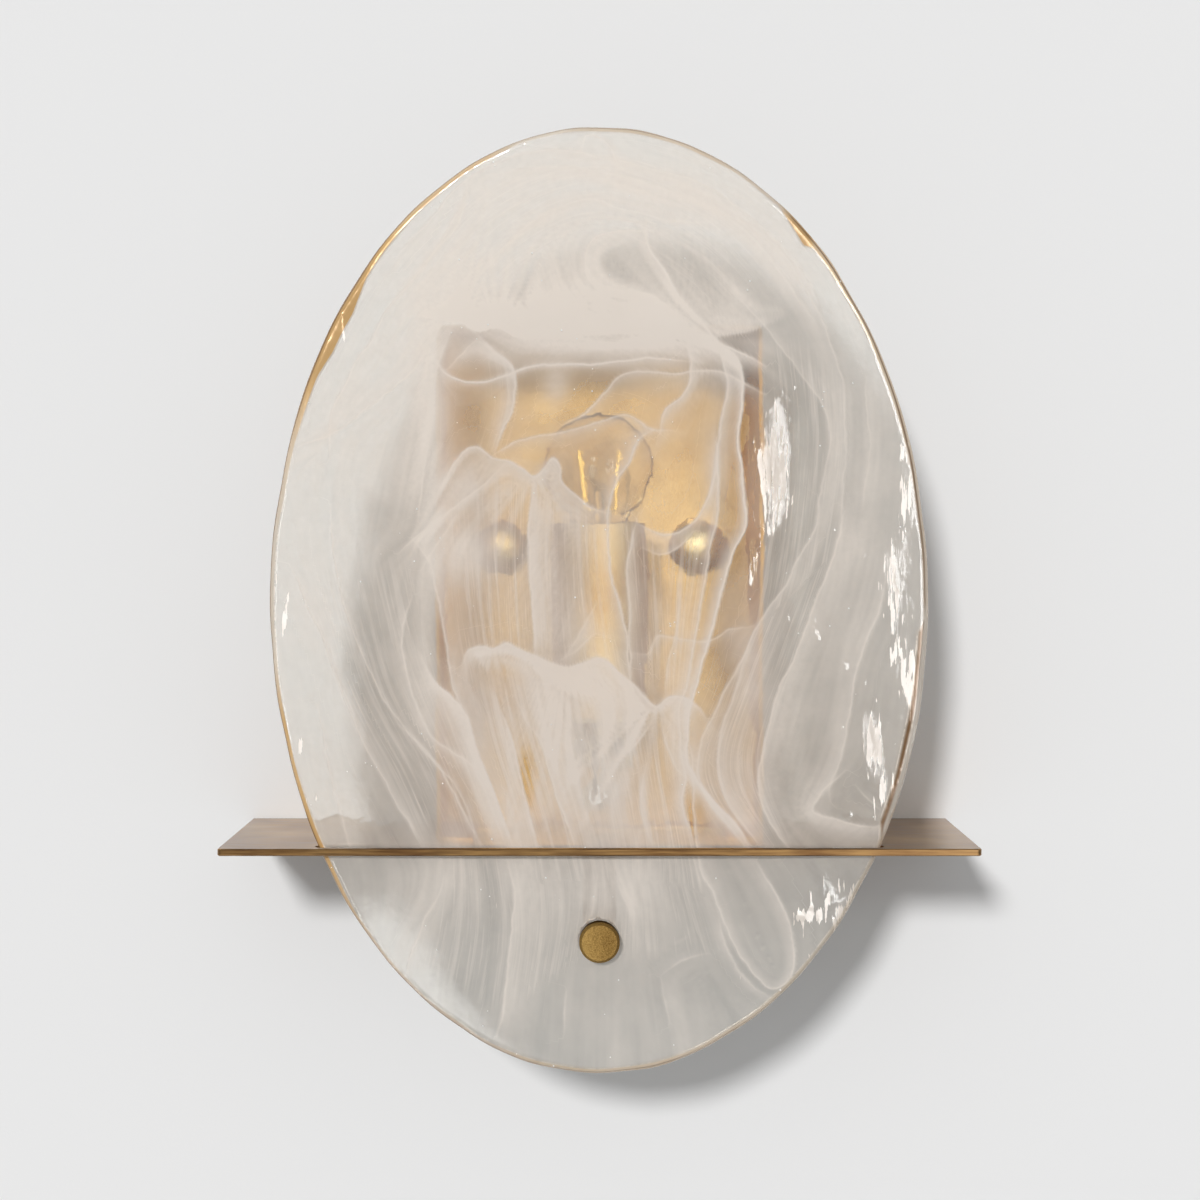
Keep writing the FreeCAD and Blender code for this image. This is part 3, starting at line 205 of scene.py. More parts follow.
def metal(name, dark, light, rough, grain=(1, 1, 1), grain_mm=1.0, spread=0.08, dent=0.01, lacquer=0.0,
          front_painted_shade="#FFFFFF"):
    """A metal with a grain: colour and roughness vary along it, and it stands out by dent mm.
    Faces turned to the front are multiplied by the front tint, which is painted shade."""
    material, tree = new_material(name)
    lay = add(tree, "ShaderNodeTexNoise", {"Vector": place_in_mm(tree, grain), "Scale": 1 / grain_mm,
                                           "Detail": 4.0, "Roughness": 0.6}).outputs["Fac"]
    cloud = add(tree, "ShaderNodeTexNoise", {"Vector": place_in_mm(tree), "Scale": CLOUD_GRAIN,
                                             "Detail": 2.0}).outputs["Fac"]
    blend = add(tree, "ShaderNodeMath", {0: lay, 1: cloud}, operation="ADD")
    tone = add(tree, "ShaderNodeMapRange", {"Value": blend, "From Min": 0.75, "From Max": 1.25})
    colour = add(tree, "ShaderNodeMix", {0: tone, 6: linear(dark), 7: linear(light)},
                 data_type="RGBA")
    # painted shade: faces turned towards the viewer are darkened by the front tint
    facing = add(tree, "ShaderNodeNewGeometry").outputs["True Normal"]
    forward = add(tree, "ShaderNodeSeparateXYZ", {0: facing}).outputs["Y"]
    is_front = add(tree, "ShaderNodeMath", {0: forward, 1: FRONT_FACING}, operation="LESS_THAN")
    colour = add(tree, "ShaderNodeMix", {0: is_front, 6: colour.outputs[2], 7: linear(front_painted_shade)},
                 data_type="RGBA", blend_type="MULTIPLY")
    shine = add(tree, "ShaderNodeMapRange", {"Value": lay, "From Min": 0.3, "From Max": 0.7,
                                             "To Min": rough - spread, "To Max": rough + spread})
    relief = add(tree, "ShaderNodeBump", {"Height": lay, "Strength": 1.0, "Distance": dent * MM})
    skin = add(tree, "ShaderNodeBsdfPrincipled", {"Base Color": colour.outputs[2], "Metallic": 1.0,
                                                  "Roughness": shine, "Normal": relief,
                                                  "Coat Weight": lacquer, "Coat Roughness": 0.22})
    add(tree, "ShaderNodeOutputMaterial", {"Surface": skin})
    return material


def dress(material, *names):
    """Gives CAD nodes their finish."""
    for name in names:
        nodes[name].data.materials.clear()
        nodes[name].data.materials.append(material)


# passivation makes the zinc straw-coloured in clouds
zinc = metal("yellow_passivated_zinc", "#A8977A", "#C9B893", 0.34, grain_mm=2.5, dent=0.004)
dress(zinc, "mounting_plate", "lamp_bracket", "lamp_nipple")
# green dye over bright steel, so it shines dark green
dress(metal("green_dipped_screw", "#1E6B3A", "#2F8A4E", 0.3), "ground_screw")

# ---- Threads of the studs ----
# The two M5 weld studs have a rolled thread of 0.8 mm pitch and a plain tip. Each is a root bar with a
# ridge wound up it, in the plate's zinc.


def new_geometry_tree(name, sizes):
    """An empty Geometry Nodes tree with a mesh in and out and a named input for each size."""
    tree = bpy.data.node_groups.new(name, "GeometryNodeTree")
    tree.interface.new_socket("Mesh", in_out="INPUT", socket_type="NodeSocketGeometry")
    for size in sizes:
        tree.interface.new_socket(size, in_out="INPUT", socket_type="NodeSocketFloat")
    tree.interface.new_socket("Mesh", in_out="OUTPUT", socket_type="NodeSocketGeometry")
    return tree


def applied(piece):
    """The piece with its modifiers made part of its mesh."""
    graph = bpy.context.evaluated_depsgraph_get()
    mesh = bpy.data.meshes.new_from_object(piece.evaluated_get(graph), depsgraph=graph)
    piece.modifiers.clear()
    piece.data = mesh
    return piece


def grown(name, mesh, tree, sizes, skin):
    """A piece that the tree makes from the mesh and the sizes, as a plain mesh in one material."""
    piece = link_object(name, mesh)
    growth = piece.modifiers.new(name, "NODES")
    growth.node_group = tree
    for socket in tree.interface.items_tree:
        if socket.in_out == "INPUT" and socket.name in sizes:
            growth[socket.identifier] = sizes[socket.name]
    applied(piece)
    piece.data.materials.clear()
    piece.data.materials.append(skin)
    piece.data.polygons.foreach_set("material_index", [0] * len(piece.data.polygons))
    return piece


stud_low, stud_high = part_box("mounting_studs")
STUD_CREST = (stud_high.z - stud_low.z) / 2
STUD_SIZES = {"Crest": STUD_CREST, "Pitch": 0.8 * MM, "Depth": 0.4 * MM,
              "Length": stud_high.y - stud_low.y, "Spacing": stud_high.x - stud_low.x - 2 * STUD_CREST,
              "Foot": stud_high.y, "Level": (stud_high.z + stud_low.z) / 2}
RIDGE_CORNERS = 4
TURN_POINTS = 16
BAR_SIDES = 32

tree = new_geometry_tree("threaded_studs", STUD_SIZES)
given = add(tree, "NodeGroupInput").outputs
root = add(tree, "ShaderNodeMath", {0: given["Crest"], 1: given["Depth"]}, operation="SUBTRACT")
bar = add(tree, "GeometryNodeMeshCylinder", {"Vertices": BAR_SIDES, "Radius": root,
                                             "Depth": given["Length"]})
wound = add(tree, "ShaderNodeMath", {0: given["Length"], 1: given["Pitch"]}, operation="SUBTRACT")
turns = add(tree, "ShaderNodeMath", {0: wound, 1: given["Pitch"]}, operation="DIVIDE")
winding = add(tree, "GeometryNodeCurveSpiral", {"Resolution": TURN_POINTS, "Rotations": turns,
                                                "Start Radius": root, "End Radius": root,
                                                "Height": wound})
upright = add(tree, "GeometryNodeSetCurveNormal", {"Curve": winding}, mode="Z_UP")
ridge_outline = add(tree, "GeometryNodeCurvePrimitiveCircle", {"Resolution": RIDGE_CORNERS,
                                                               "Radius": given["Depth"]}, mode="RADIUS")
ridge = add(tree, "GeometryNodeCurveToMesh", {"Curve": upright, "Profile Curve": ridge_outline,
                                              "Fill Caps": True})
half_down = add(tree, "ShaderNodeMath", {0: wound, 1: -0.5}, operation="MULTIPLY")
to_middle = add(tree, "ShaderNodeCombineXYZ", {2: half_down})
centred = add(tree, "GeometryNodeTransform", {"Geometry": ridge, "Translation": to_middle})
stud = add(tree, "GeometryNodeJoinGeometry", {0: bar})
tree.links.new(centred.outputs[0], stud.inputs[0])
half_left = add(tree, "ShaderNodeMath", {0: given["Spacing"], 1: -0.5}, operation="MULTIPLY")
middle_depth = add(tree, "ShaderNodeMath", {0: given["Length"], 1: -0.5, 2: given["Foot"]},
                   operation="MULTIPLY_ADD")
first = add(tree, "ShaderNodeCombineXYZ", {0: half_left, 1: middle_depth, 2: given["Level"]})
to_second = add(tree, "ShaderNodeCombineXYZ", {0: given["Spacing"]})
places = add(tree, "GeometryNodeMeshLine", {"Count": 2, "Start Location": first, "Offset": to_second},
             mode="OFFSET")
both = add(tree, "GeometryNodeInstanceOnPoints", {"Points": places, "Instance": stud,
                                                  "Rotation": (math.radians(90), 0, 0)})
real = add(tree, "GeometryNodeRealizeInstances", {0: both})
skinned = add(tree, "GeometryNodeSetMaterial", {"Geometry": real, "Material": zinc})
add(tree, "NodeGroupOutput", {"Mesh": skinned})

studs = grown("threaded_studs", bpy.data.meshes.new("threaded_studs"), tree, STUD_SIZES, zinc)
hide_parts("mounting_studs")
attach(studs, "fixture")

# ---- Housing: back panel and surround band ----
# Sheet brass, 1.5 mm, wire-brushed upright, which gives long soft streaks. The panel goes over the
# studs, and the folded band, of a deeper gold, forms the sides and top.
brushed_brass = metal("brushed_brass", "#B08A50", "#D9B67C", 0.50, grain=(1, 1, 0.2), grain_mm=0.6,
                      spread=0.06, dent=0.02)
band_brass = metal("deep_brushed_brass", "#BE862E", "#E2AE5A", 0.50, grain=(1, 1, 0.2),
                   grain_mm=0.6, spread=0.06, dent=0.02)
dress(brushed_brass, "back_panel")
dress(band_brass, "surround_band")

# ---- Domed nuts and washers ----
# Turned brass nuts, polished to a pale soft shine, that hold the housing on the studs over plain
# washers. The arm's threaded bush and the socket's centre contact have the same finish.
polished_brass = metal("polished_brass", "#EEC676", "#FFEFC4", 0.56, grain_mm=0.8, spread=0.06,
                       dent=0.006)
dress(polished_brass, "cap_nuts", "cap_nut_washers", "arm_bush", "socket_contact")

# ---- Shelf ----
# A 3 mm brass bar, darkened and waxed, slotted for the glass and screwed under the housing. The wax
# makes its top shine pale at a low angle, and its front edge is darkened with painted shade.
# the front tint darkens the front edges of the shelf and arm as painted shade
antique_brass = metal("antique_brass", "#80592E", "#B48E58", 0.36, grain=(0.04, 1, 1), grain_mm=0.8,
                      spread=0.08, dent=0.012, lacquer=0.6, front_painted_shade="#C6C4C2")
dress(antique_brass, "shelf_plate", "glass_arm")
# plated steel fasteners: a cool grey that mirrors the brass round them
steel = metal("bright_steel", "#9C9C9E", "#C8C8CA", 0.25, grain_mm=1.5, dent=0.002)
dress(steel, "shelf_screws", "arm_screws", "bracket_screws", "bracket_nuts", "nipple_nuts",
      "block_screw")

# ---- Glass shell ----
# One oval dished sheet of kiln-formed clear glass, 6 mm thick, with white glass trailed and combed
# through it. It stands in the shelf's slot and the knob clamps it.
glass_low, glass_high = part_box("glass_shell")
GLASS_HALF_WIDE = (glass_high.x - glass_low.x) / 2
GLASS_HALF_HIGH = (glass_high.z - glass_low.z) / 2
GLASS_MIDDLE = (glass_high.z + glass_low.z) / 2
GLASS_REAR = glass_high.y
GLASS_THICK = 6.0 * MM
DISH_ACROSS = 3.0 * MM
DISH_UP = 6.0 * MM


def ball_radius(half, depth):
    """Radius of an arc from its half chord and its depth."""
    return (half**2 + depth**2) / (2 * depth)


def glass_face(x, z, inset):
    """How far back from the viewer a glass face lies: inset 0 is the rear face."""
    across = ball_radius(GLASS_HALF_WIDE, DISH_ACROSS) - inset
    upward = ball_radius(GLASS_HALF_HIGH, DISH_UP) - inset
    sideways = across - np.sqrt(across**2 - x**2)
    sag = upward - np.sqrt((upward - sideways)**2 - (z - GLASS_MIDDLE)**2)
    return GLASS_REAR - inset - sag


def wander(turn, seed, waves):
    """A smooth wavering from -1 to 1 round the rim: the same each run."""
    chance = np.random.default_rng(seed)
    total = np.zeros_like(turn)
    for wave in waves:
        total += np.sin(wave * turn + chance.uniform(0, 2 * math.pi)) / len(waves)
    return total


RIM_TURNS = 720
FRONT_RINGS = 140
REAR_RINGS = 36
RIM_STEPS = 12
RIM_ROUND = 2.7 * MM
RIM_ROUND_DRIFT = 0.7 * MM
RIM_LEAN = 0.25  # how far the rim's roundness leans forwards or back
OUTLINE_DRIFT = 0.9 * MM


def rim_point(turn):
    """Outline point and outward way of the oval at a turn, a little wavering as slumped glass is."""
    pull = OUTLINE_DRIFT * (1 + wander(turn, 3, (5, 9, 14, 23, 37))) / 2
    x = (GLASS_HALF_WIDE - pull) * np.cos(turn)
    z = (GLASS_HALF_HIGH - pull) * np.sin(turn)
    out = np.stack([np.cos(turn) / GLASS_HALF_WIDE, np.sin(turn) / GLASS_HALF_HIGH], -1)
    out /= np.linalg.norm(out, axis=-1, keepdims=True)
    return np.stack([x, z], -1), out


def ring_turns(share):
    """Points on a ring: the inner rings have fewer."""
    return RIM_TURNS // (1 if share > 0.5 else 2 if share > 0.25 else 4 if share > 0.125 else 8)


def stitch(faces, inner, outer):
    """Faces between two rings of vertex numbers; the outer may have twice the points."""
    count = len(inner)
    for k in range(count):
        near, after = inner[k], inner[(k + 1) % count]
        if len(outer) == count:
            faces.append((near, after, outer[(k + 1) % count], outer[k]))
        else:
            first, middle, last = (outer[(2 * k + step) % len(outer)] for step in range(3))
            faces += [(near, middle, first), (near, after, middle), (after, last, middle)]


def build_glass_mesh():
    """The glass as one closed shell: front sheet, round rim and rear sheet."""
    points, faces = [], []

    def ring(turn, place, depth):
        start = len(points)
        points.extend(zip(place[:, 0], depth, place[:, 1] + GLASS_MIDDLE))
        return list(range(start, start + len(turn)))

    def sheet(rings, inset):
        start = len(points)
        points.append((0.0, float(glass_face(0.0, GLASS_MIDDLE, inset)), GLASS_MIDDLE))
        last = None
        for number in range(1, rings + 1):
            share = number / rings
            turn = np.arange(ring_turns(share)) * 2 * math.pi / ring_turns(share)
            edge, out = rim_point(turn)
            deep = RIM_ROUND + RIM_ROUND_DRIFT * wander(turn, 8, (4, 7, 13, 19))
            place = (edge - out * deep[:, None]) * share
            depth = glass_face(place[:, 0], place[:, 1] + GLASS_MIDDLE, inset)
            now = ring(turn, place, depth)
            if last is None:
                faces.extend((start, now[k], now[(k + 1) % len(now)]) for k in range(len(now)))
            else:
                stitch(faces, last, now)
            last = now
        return last

    front_edge = sheet(FRONT_RINGS, GLASS_THICK)
    rear_edge = sheet(REAR_RINGS, 0.0)
    turn = np.arange(RIM_TURNS) * 2 * math.pi / RIM_TURNS
    edge, out = rim_point(turn)
    deep = RIM_ROUND + RIM_ROUND_DRIFT * wander(turn, 8, (4, 7, 13, 19))
    base = edge - out * deep[:, None]
    front = glass_face(base[:, 0], base[:, 1] + GLASS_MIDDLE, GLASS_THICK)
    rear = glass_face(base[:, 0], base[:, 1] + GLASS_MIDDLE, 0.0)
    lean = RIM_LEAN * wander(turn, 21, (3, 6, 11, 17, 29))
    last = front_edge
    for step in range(1, RIM_STEPS):
        swing = math.pi * step / RIM_STEPS
        bulge = np.sin(swing) + lean * np.sin(2 * swing)
        place = base + out * (deep * bulge)[:, None]
        depth = (front + rear) / 2 - (rear - front) / 2 * math.cos(swing)
        now = ring(turn, place, depth)
        stitch(faces, last, now)
        last = now
    stitch(faces, last, rear_edge)
    mesh = bpy.data.meshes.new("glass_shell_body")
    mesh.from_pydata([tuple(map(float, p)) for p in points], [], faces)
    shape = bmesh.new()
    shape.from_mesh(mesh)
    bmesh.ops.recalc_face_normals(shape, faces=shape.faces)
    shape.to_mesh(mesh)
    shape.free()
    return mesh


def turned(profile, place, way, sides, name):
    """A closed turned shape: profile is (radius, distance along way) from one end to the other."""
    way = Vector(way).normalized()
    side = way.orthogonal().normalized()
    up = way.cross(side)
    shape = bmesh.new()
    rings = []
    for radius, along in profile:
        middle = Vector(place) + way * along
        if radius == 0:
            rings.append([shape.verts.new(middle)])
            continue
        spokes = [2 * math.pi * k / sides for k in range(sides)]
        rings.append([shape.verts.new(middle + side * (radius * math.cos(a)) + up * (radius * math.sin(a)))
                      for a in spokes])
    for lower, upper in zip(rings, rings[1:]):
        for k in range(sides):
            near = [lower[k % len(lower)], lower[(k + 1) % sides % len(lower)],
                    upper[(k + 1) % sides % len(upper)], upper[k % len(upper)]]
            shape.faces.new(list(dict.fromkeys(near)))
    if len(rings[0]) > 1 and len(rings[-1]) > 1:
        shape.faces.new(rings[0])
        shape.faces.new(rings[-1])
    bmesh.ops.recalc_face_normals(shape, faces=shape.faces)
    mesh = bpy.data.meshes.new(name)
    shape.to_mesh(mesh)
    shape.free()
    return mesh


# The hole for the knob's sleeve and the flat seat ground round it on each face.
sleeve_low, sleeve_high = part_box("glass_sleeve")
washer_low, washer_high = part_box("knob_washer")
rear_washer_low, rear_washer_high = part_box("glass_rear_washer")
knob_low, knob_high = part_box("glass_knob")
KNOB_LEVEL = (knob_low.z + knob_high.z) / 2
SLEEVE_FIT = 0.1 * MM
HOLE_RADIUS = (sleeve_high.x - sleeve_low.x) / 2 + SLEEVE_FIT
SEAT_RADIUS = 9.0 * MM
FRONT_SEAT = washer_high.y
REAR_SEAT = rear_washer_low.y
CUT_REACH = 4.0 * MM
SPOOL_SIDES = 64

glass = link_object("glass_shell_body", build_glass_mesh())
SEATS_APART = REAR_SEAT - FRONT_SEAT
spool_outline = [(SEAT_RADIUS, 0), (SEAT_RADIUS, CUT_REACH), (HOLE_RADIUS, CUT_REACH),
                 (HOLE_RADIUS, CUT_REACH + SEATS_APART), (SEAT_RADIUS, CUT_REACH + SEATS_APART),
                 (SEAT_RADIUS, 2 * CUT_REACH + SEATS_APART)]
spool = link_object("knob_hole", turned(spool_outline, (0, FRONT_SEAT - CUT_REACH, KNOB_LEVEL),
                                        (0, 1, 0), SPOOL_SIDES, "knob_hole"))
cut = glass.modifiers.new("knob_hole", "BOOLEAN")
cut.operation = "DIFFERENCE"
cut.solver = "EXACT"
cut.object = spool
applied(glass)
bpy.data.objects.remove(spool)

# Where the white glass lies. The paths are in pixels of the 1200 x 1200 photograph, put on the glass
# by its middle and its scale. Each is: line width mm, line strength, fade mm (+ to the left of the
# way the path runs, - to its right), fade strength, points.
PHOTO_MIDDLE = (600.0, 599.5)
PHOTO_PIXELS = 2.375  # to a millimetre at the glass
TRAILS = [
    # long arcs over the top
    (1.3, 0.22, -9, 0.10, [(400, 257), (434, 218), (470, 180), (512, 159), (557, 152), (602, 159),
                           (652, 170), (697, 184), (736, 207), (772, 238), (806, 280), (820, 310)]),
    (1.2, 0.20, -7, 0.10, [(492, 177), (534, 170), (579, 170), (624, 179), (674, 194), (722, 215),
                           (764, 252), (798, 299), (820, 333)]),
    (1.0, 0.22, -5, 0.10, [(462, 302), (495, 260), (523, 232), (557, 210), (590, 201), (624, 210),
                           (660, 219), (702, 224)]),
    (0.9, 0.25, 3, 0.08, [(582, 151), (585, 140), (593, 137), (607, 145), (617, 162), (616, 179)]),
    (1.6, 0.25, -6, 0.16, [(467, 184), (467, 204), (456, 229), (439, 249), (417, 277), (400, 299)]),
    (1.0, 0.12, 4, 0.06, [(557, 268), (565, 288), (579, 308), (585, 330)]),
    # the loop at the top
    (1.8, 0.45, 6, 0.28, [(652, 232), (618, 232), (596, 240), (586, 257), (590, 280), (607, 294),
                          (632, 299), (655, 305), (672, 316), (686, 341), (691, 361), (690, 383),
                          (683, 397), (666, 411), (660, 434)]),
    # the right ribbon, its outer and inner edges
    (1.6, 0.62, -5, 0.50, [(646, 229), (649, 249), (666, 274), (680, 299), (702, 324), (719, 344),
                           (736, 358), (743, 380), (742, 408), (739, 436), (742, 474), (746, 521),
                           (733, 552), (722, 591), (711, 636), (697, 681), (688, 720), (688, 759),
                           (697, 779), (716, 804), (736, 824), (747, 843)]),
    (1.3, 0.40, 4, 0.35, [(676, 310), (700, 330), (719, 344), (725, 364), (728, 389), (722, 417),
                          (719, 442), (715, 473), (708, 498), (697, 518), (680, 532), (660, 534),
                          (641, 526), (637, 521)]),
    (1.2, 0.35, 4, 0.20, [(646, 548), (660, 553), (677, 548), (694, 532)]),
    (1.8, 0.45, -4, 0.30, [(716, 440), (719, 482), (716, 524), (708, 552), (705, 580), (697, 630),
                           (688, 681), (680, 706), (680, 742), (686, 776), (683, 804), (694, 843)]),
    # the thick white over the housing's top edge
    (0.8, 0.10, 24, 0.80, [(436, 318), (462, 322), (478, 330), (500, 326), (520, 336), (560, 337),
                           (600, 339), (640, 340), (676, 338), (700, 341), (722, 335), (748, 331),
                           (770, 322)]),
    # ribbons across the top of the housing
    (1.4, 0.55, -6, 0.45, [(511, 285), (506, 302), (512, 319), (526, 331), (551, 336), (579, 340),
                           (613, 343), (635, 340), (652, 337), (669, 341), (688, 344), (716, 344),
                           (744, 355), (764, 366)]),
    (1.1, 0.60, -2, 0.20, [(436, 358), (445, 372), (462, 382), (481, 382), (504, 376), (526, 368),
                           (546, 365), (596, 364), (624, 361), (646, 357), (666, 359), (688, 361)]),
    (1.2, 0.40, -7, 0.22, [(565, 425), (585, 414), (602, 397), (618, 378), (638, 371), (658, 372),
                           (674, 375), (697, 371), (722, 373), (744, 383), (764, 393)]),
    (1.1, 0.35, -8, 0.20, [(492, 459), (506, 448), (526, 439), (557, 434), (582, 428), (602, 421),
                           (624, 415), (641, 422), (652, 429), (674, 431)]),
    (1.1, 0.40, 4, 0.12, [(481, 338), (470, 347), (459, 358), (448, 369)]),
    (1.6, 0.45, -5, 0.35, [(481, 338), (495, 352), (512, 366), (516, 386), (512, 411), (504, 428),
                           (495, 450)]),
    # strands down the middle
    (1.3, 0.45, -4, 0.22, [(652, 431), (641, 439), (630, 462), (618, 481), (610, 506), (609, 552),
                           (613, 580), (621, 608), (627, 642), (630, 686)]),
    (1.2, 0.40, 4, 0.22, [(637, 521), (631, 544), (628, 572), (630, 608), (631, 658), (632, 684)]),
    (1.4, 0.60, 13, 0.36, [(534, 488), (530, 524), (530, 566), (534, 608), (536, 653)]),
    (1.3, 0.25, 5, 0.12, [(596, 605), (579, 636), (565, 658)]),
    (1.2, 0.25, 4, 0.12, [(564, 658), (579, 650), (593, 636), (607, 636)]),
    (1.4, 0.25, -3, 0.10, [(632, 653), (649, 654), (658, 636), (680, 640), (711, 640), (730, 630),
                           (753, 626)]),
    (1.6, 0.25, 4, 0.15, [(680, 580), (677, 636), (669, 664), (666, 698)]),
    # the upper veil
    (1.5, 0.50, -34, 0.40, [(436, 498), (448, 476), (459, 459), (470, 449), (481, 449), (492, 459),
                            (512, 463), (523, 470), (534, 477), (546, 467), (554, 459), (560, 467),
                            (561, 481), (574, 495), (590, 506), (607, 512)]),
    (1.2, 0.40, -3, 0.15, [(400, 552), (428, 530), (456, 507), (484, 485), (506, 465)]),
    (1.1, 0.35, -3, 0.12, [(422, 569), (442, 538), (456, 516)]),
    # strands on the left
    (1.3, 0.35, 5, 0.18, [(414, 538), (428, 558), (436, 586), (442, 614), (448, 653), (456, 692),
                          (467, 712)]),
    (1.5, 0.38, -6, 0.15, [(411, 597), (403, 630), (406, 664), (417, 703), (434, 737), (453, 751),
                           (470, 762), (481, 782), (495, 815), (506, 843)]),
    (1.8, 0.62, -7, 0.42, [(425, 664), (436, 684), (453, 698), (467, 717), (476, 748), (487, 776),
                           (498, 804), (512, 843)]),
    (1.4, 0.35, -5, 0.15, [(400, 723), (422, 745), (445, 776), (464, 810), (481, 843)]),
    (1.0, 0.20, 4, 0.08, [(400, 804), (412, 824), (425, 843)]),
    (1.0, 0.28, 5, 0.10, [(331, 505), (334, 552), (346, 608), (364, 653), (383, 695), (408, 732),
                          (433, 759), (455, 784), (470, 816), (477, 845)]),
    (1.0, 0.28, 5, 0.10, [(292, 564), (309, 606), (324, 638), (339, 682), (354, 719), (371, 754),
                          (391, 791), (408, 820), (423, 845)]),
    (1.0, 0.18, 5, 0.08, [(319, 705), (331, 769), (341, 811), (351, 845)]),
    (1.2, 0.25, 6, 0.12, [(464, 204), (440, 246), (388, 312), (372, 340), (336, 406), (330, 460)]),
    (1.2, 0.28, -6, 0.12, [(448, 312), (420, 364), (388, 392), (340, 430), (300, 446)]),
    (1.0, 0.20, -5, 0.08, [(560, 208), (508, 246), (480, 274), (456, 304)]),
    (1.4, 0.30, -7, 0.20, [(452, 330), (437, 372), (433, 420), (424, 470), (418, 520)]),
    # the lower veil
    (1.7, 0.55, -48, 0.45, [(464, 664), (470, 650), (484, 647), (495, 649), (506, 643), (518, 649),
                            (534, 656), (551, 664), (568, 668), (582, 664), (596, 658), (607, 661),
                            (621, 675), (638, 689), (652, 705), (660, 706), (669, 698), (683, 698),
                            (697, 706), (705, 716)]),
    (1.6, 0.55, 5, 0.30, [(534, 731), (546, 754), (554, 784), (568, 826), (574, 843)]),
    (1.6, 0.50, -5, 0.30, [(501, 709), (512, 742), (520, 776), (529, 812), (537, 843)]),
    (1.1, 0.35, 3, 0.15, [(518, 698), (526, 720), (534, 731)]),
    (1.1, 0.35, 3, 0.15, [(537, 672), (540, 703), (546, 737)]),
    (1.2, 0.35, 3, 0.15, [(630, 700), (628, 734), (632, 765)]),
    (1.2, 0.40, -5, 0.20, [(652, 720), (638, 742), (618, 762), (607, 782)]),
    (1.2, 0.35, 4, 0.18, [(646, 765), (641, 796), (646, 826), (652, 843)]),
    (1.2, 0.35, 3, 0.15, [(663, 714), (666, 742), (677, 768), (686, 776)]),
    # strands on the right
    (1.2, 0.22, -7, 0.10, [(713, 209), (755, 231), (788, 262), (814, 306), (832, 350), (843, 389),
                           (846, 442), (843, 486), (841, 530)]),
    (1.2, 0.22, 5, 0.10, [(729, 288), (764, 325), (795, 365), (823, 405), (830, 442), (823, 486),
                          (814, 526)]),
    (1.0, 0.15, 5, 0.06, [(865, 376), (869, 442), (863, 508)]),
    (1.2, 0.32, 8, 0.16, [(820, 500), (815, 529), (798, 560), (786, 586), (770, 608), (756, 630),
                          (744, 658), (730, 681), (714, 714), (702, 742), (697, 770), (708, 798),
                          (725, 821), (744, 843)]),
    (1.2, 0.30, 12, 0.22, [(744, 664), (733, 698), (722, 728), (719, 754), (722, 787), (736, 815),
                           (761, 843)]),
    (1.3, 0.38, 14, 0.28, [(844, 512), (834, 555), (815, 606), (796, 654), (779, 692), (770, 726),
                           (760, 769), (762, 800), (772, 824), (789, 846)]),
    (1.2, 0.28, -8, 0.16, [(885, 584), (878, 613), (866, 642), (856, 673), (849, 716), (842, 752),
                           (832, 781), (830, 800)]),
    (1.2, 0.35, -9, 0.22, [(844, 771), (820, 795), (813, 810), (834, 819), (868, 826), (882, 824)]),
    (0.8, 0.25, 2, 0.05, [(856, 786), (866, 797), (878, 807)]),
    # below the shelf
    (1.6, 0.35, 5, 0.18, [(690, 740), (699, 858), (714, 893), (726, 927), (738, 950), (753, 970),
                          (769, 985), (784, 981), (794, 962), (790, 927), (776, 893), (757, 862)]),
    (1.2, 0.25, -4, 0.12, [(718, 912), (730, 954), (749, 981), (769, 995)]),
    (1.2, 0.25, 5, 0.10, [(444, 862), (440, 893), (424, 923), (413, 951), (409, 970)]),
    (1.5, 0.35, 14, 0.20, [(509, 862), (515, 889), (513, 927), (509, 962), (504, 1005), (498, 1032)]),
    (1.3, 0.28, -8, 0.12, [(598, 873), (595, 908), (587, 923)]),
    (1.3, 0.28, 9, 0.16, [(614, 873), (629, 908), (633, 927)]),
    (1.2, 0.28, 6, 0.10, [(567, 989), (566, 1010), (565, 1032)]),
    (1.2, 0.22, 5, 0.08, [(662, 978), (666, 1000), (670, 1020)]),
    (1.0, 0.20, 4, 0.06, [(664, 970), (685, 958), (707, 952)]),
]
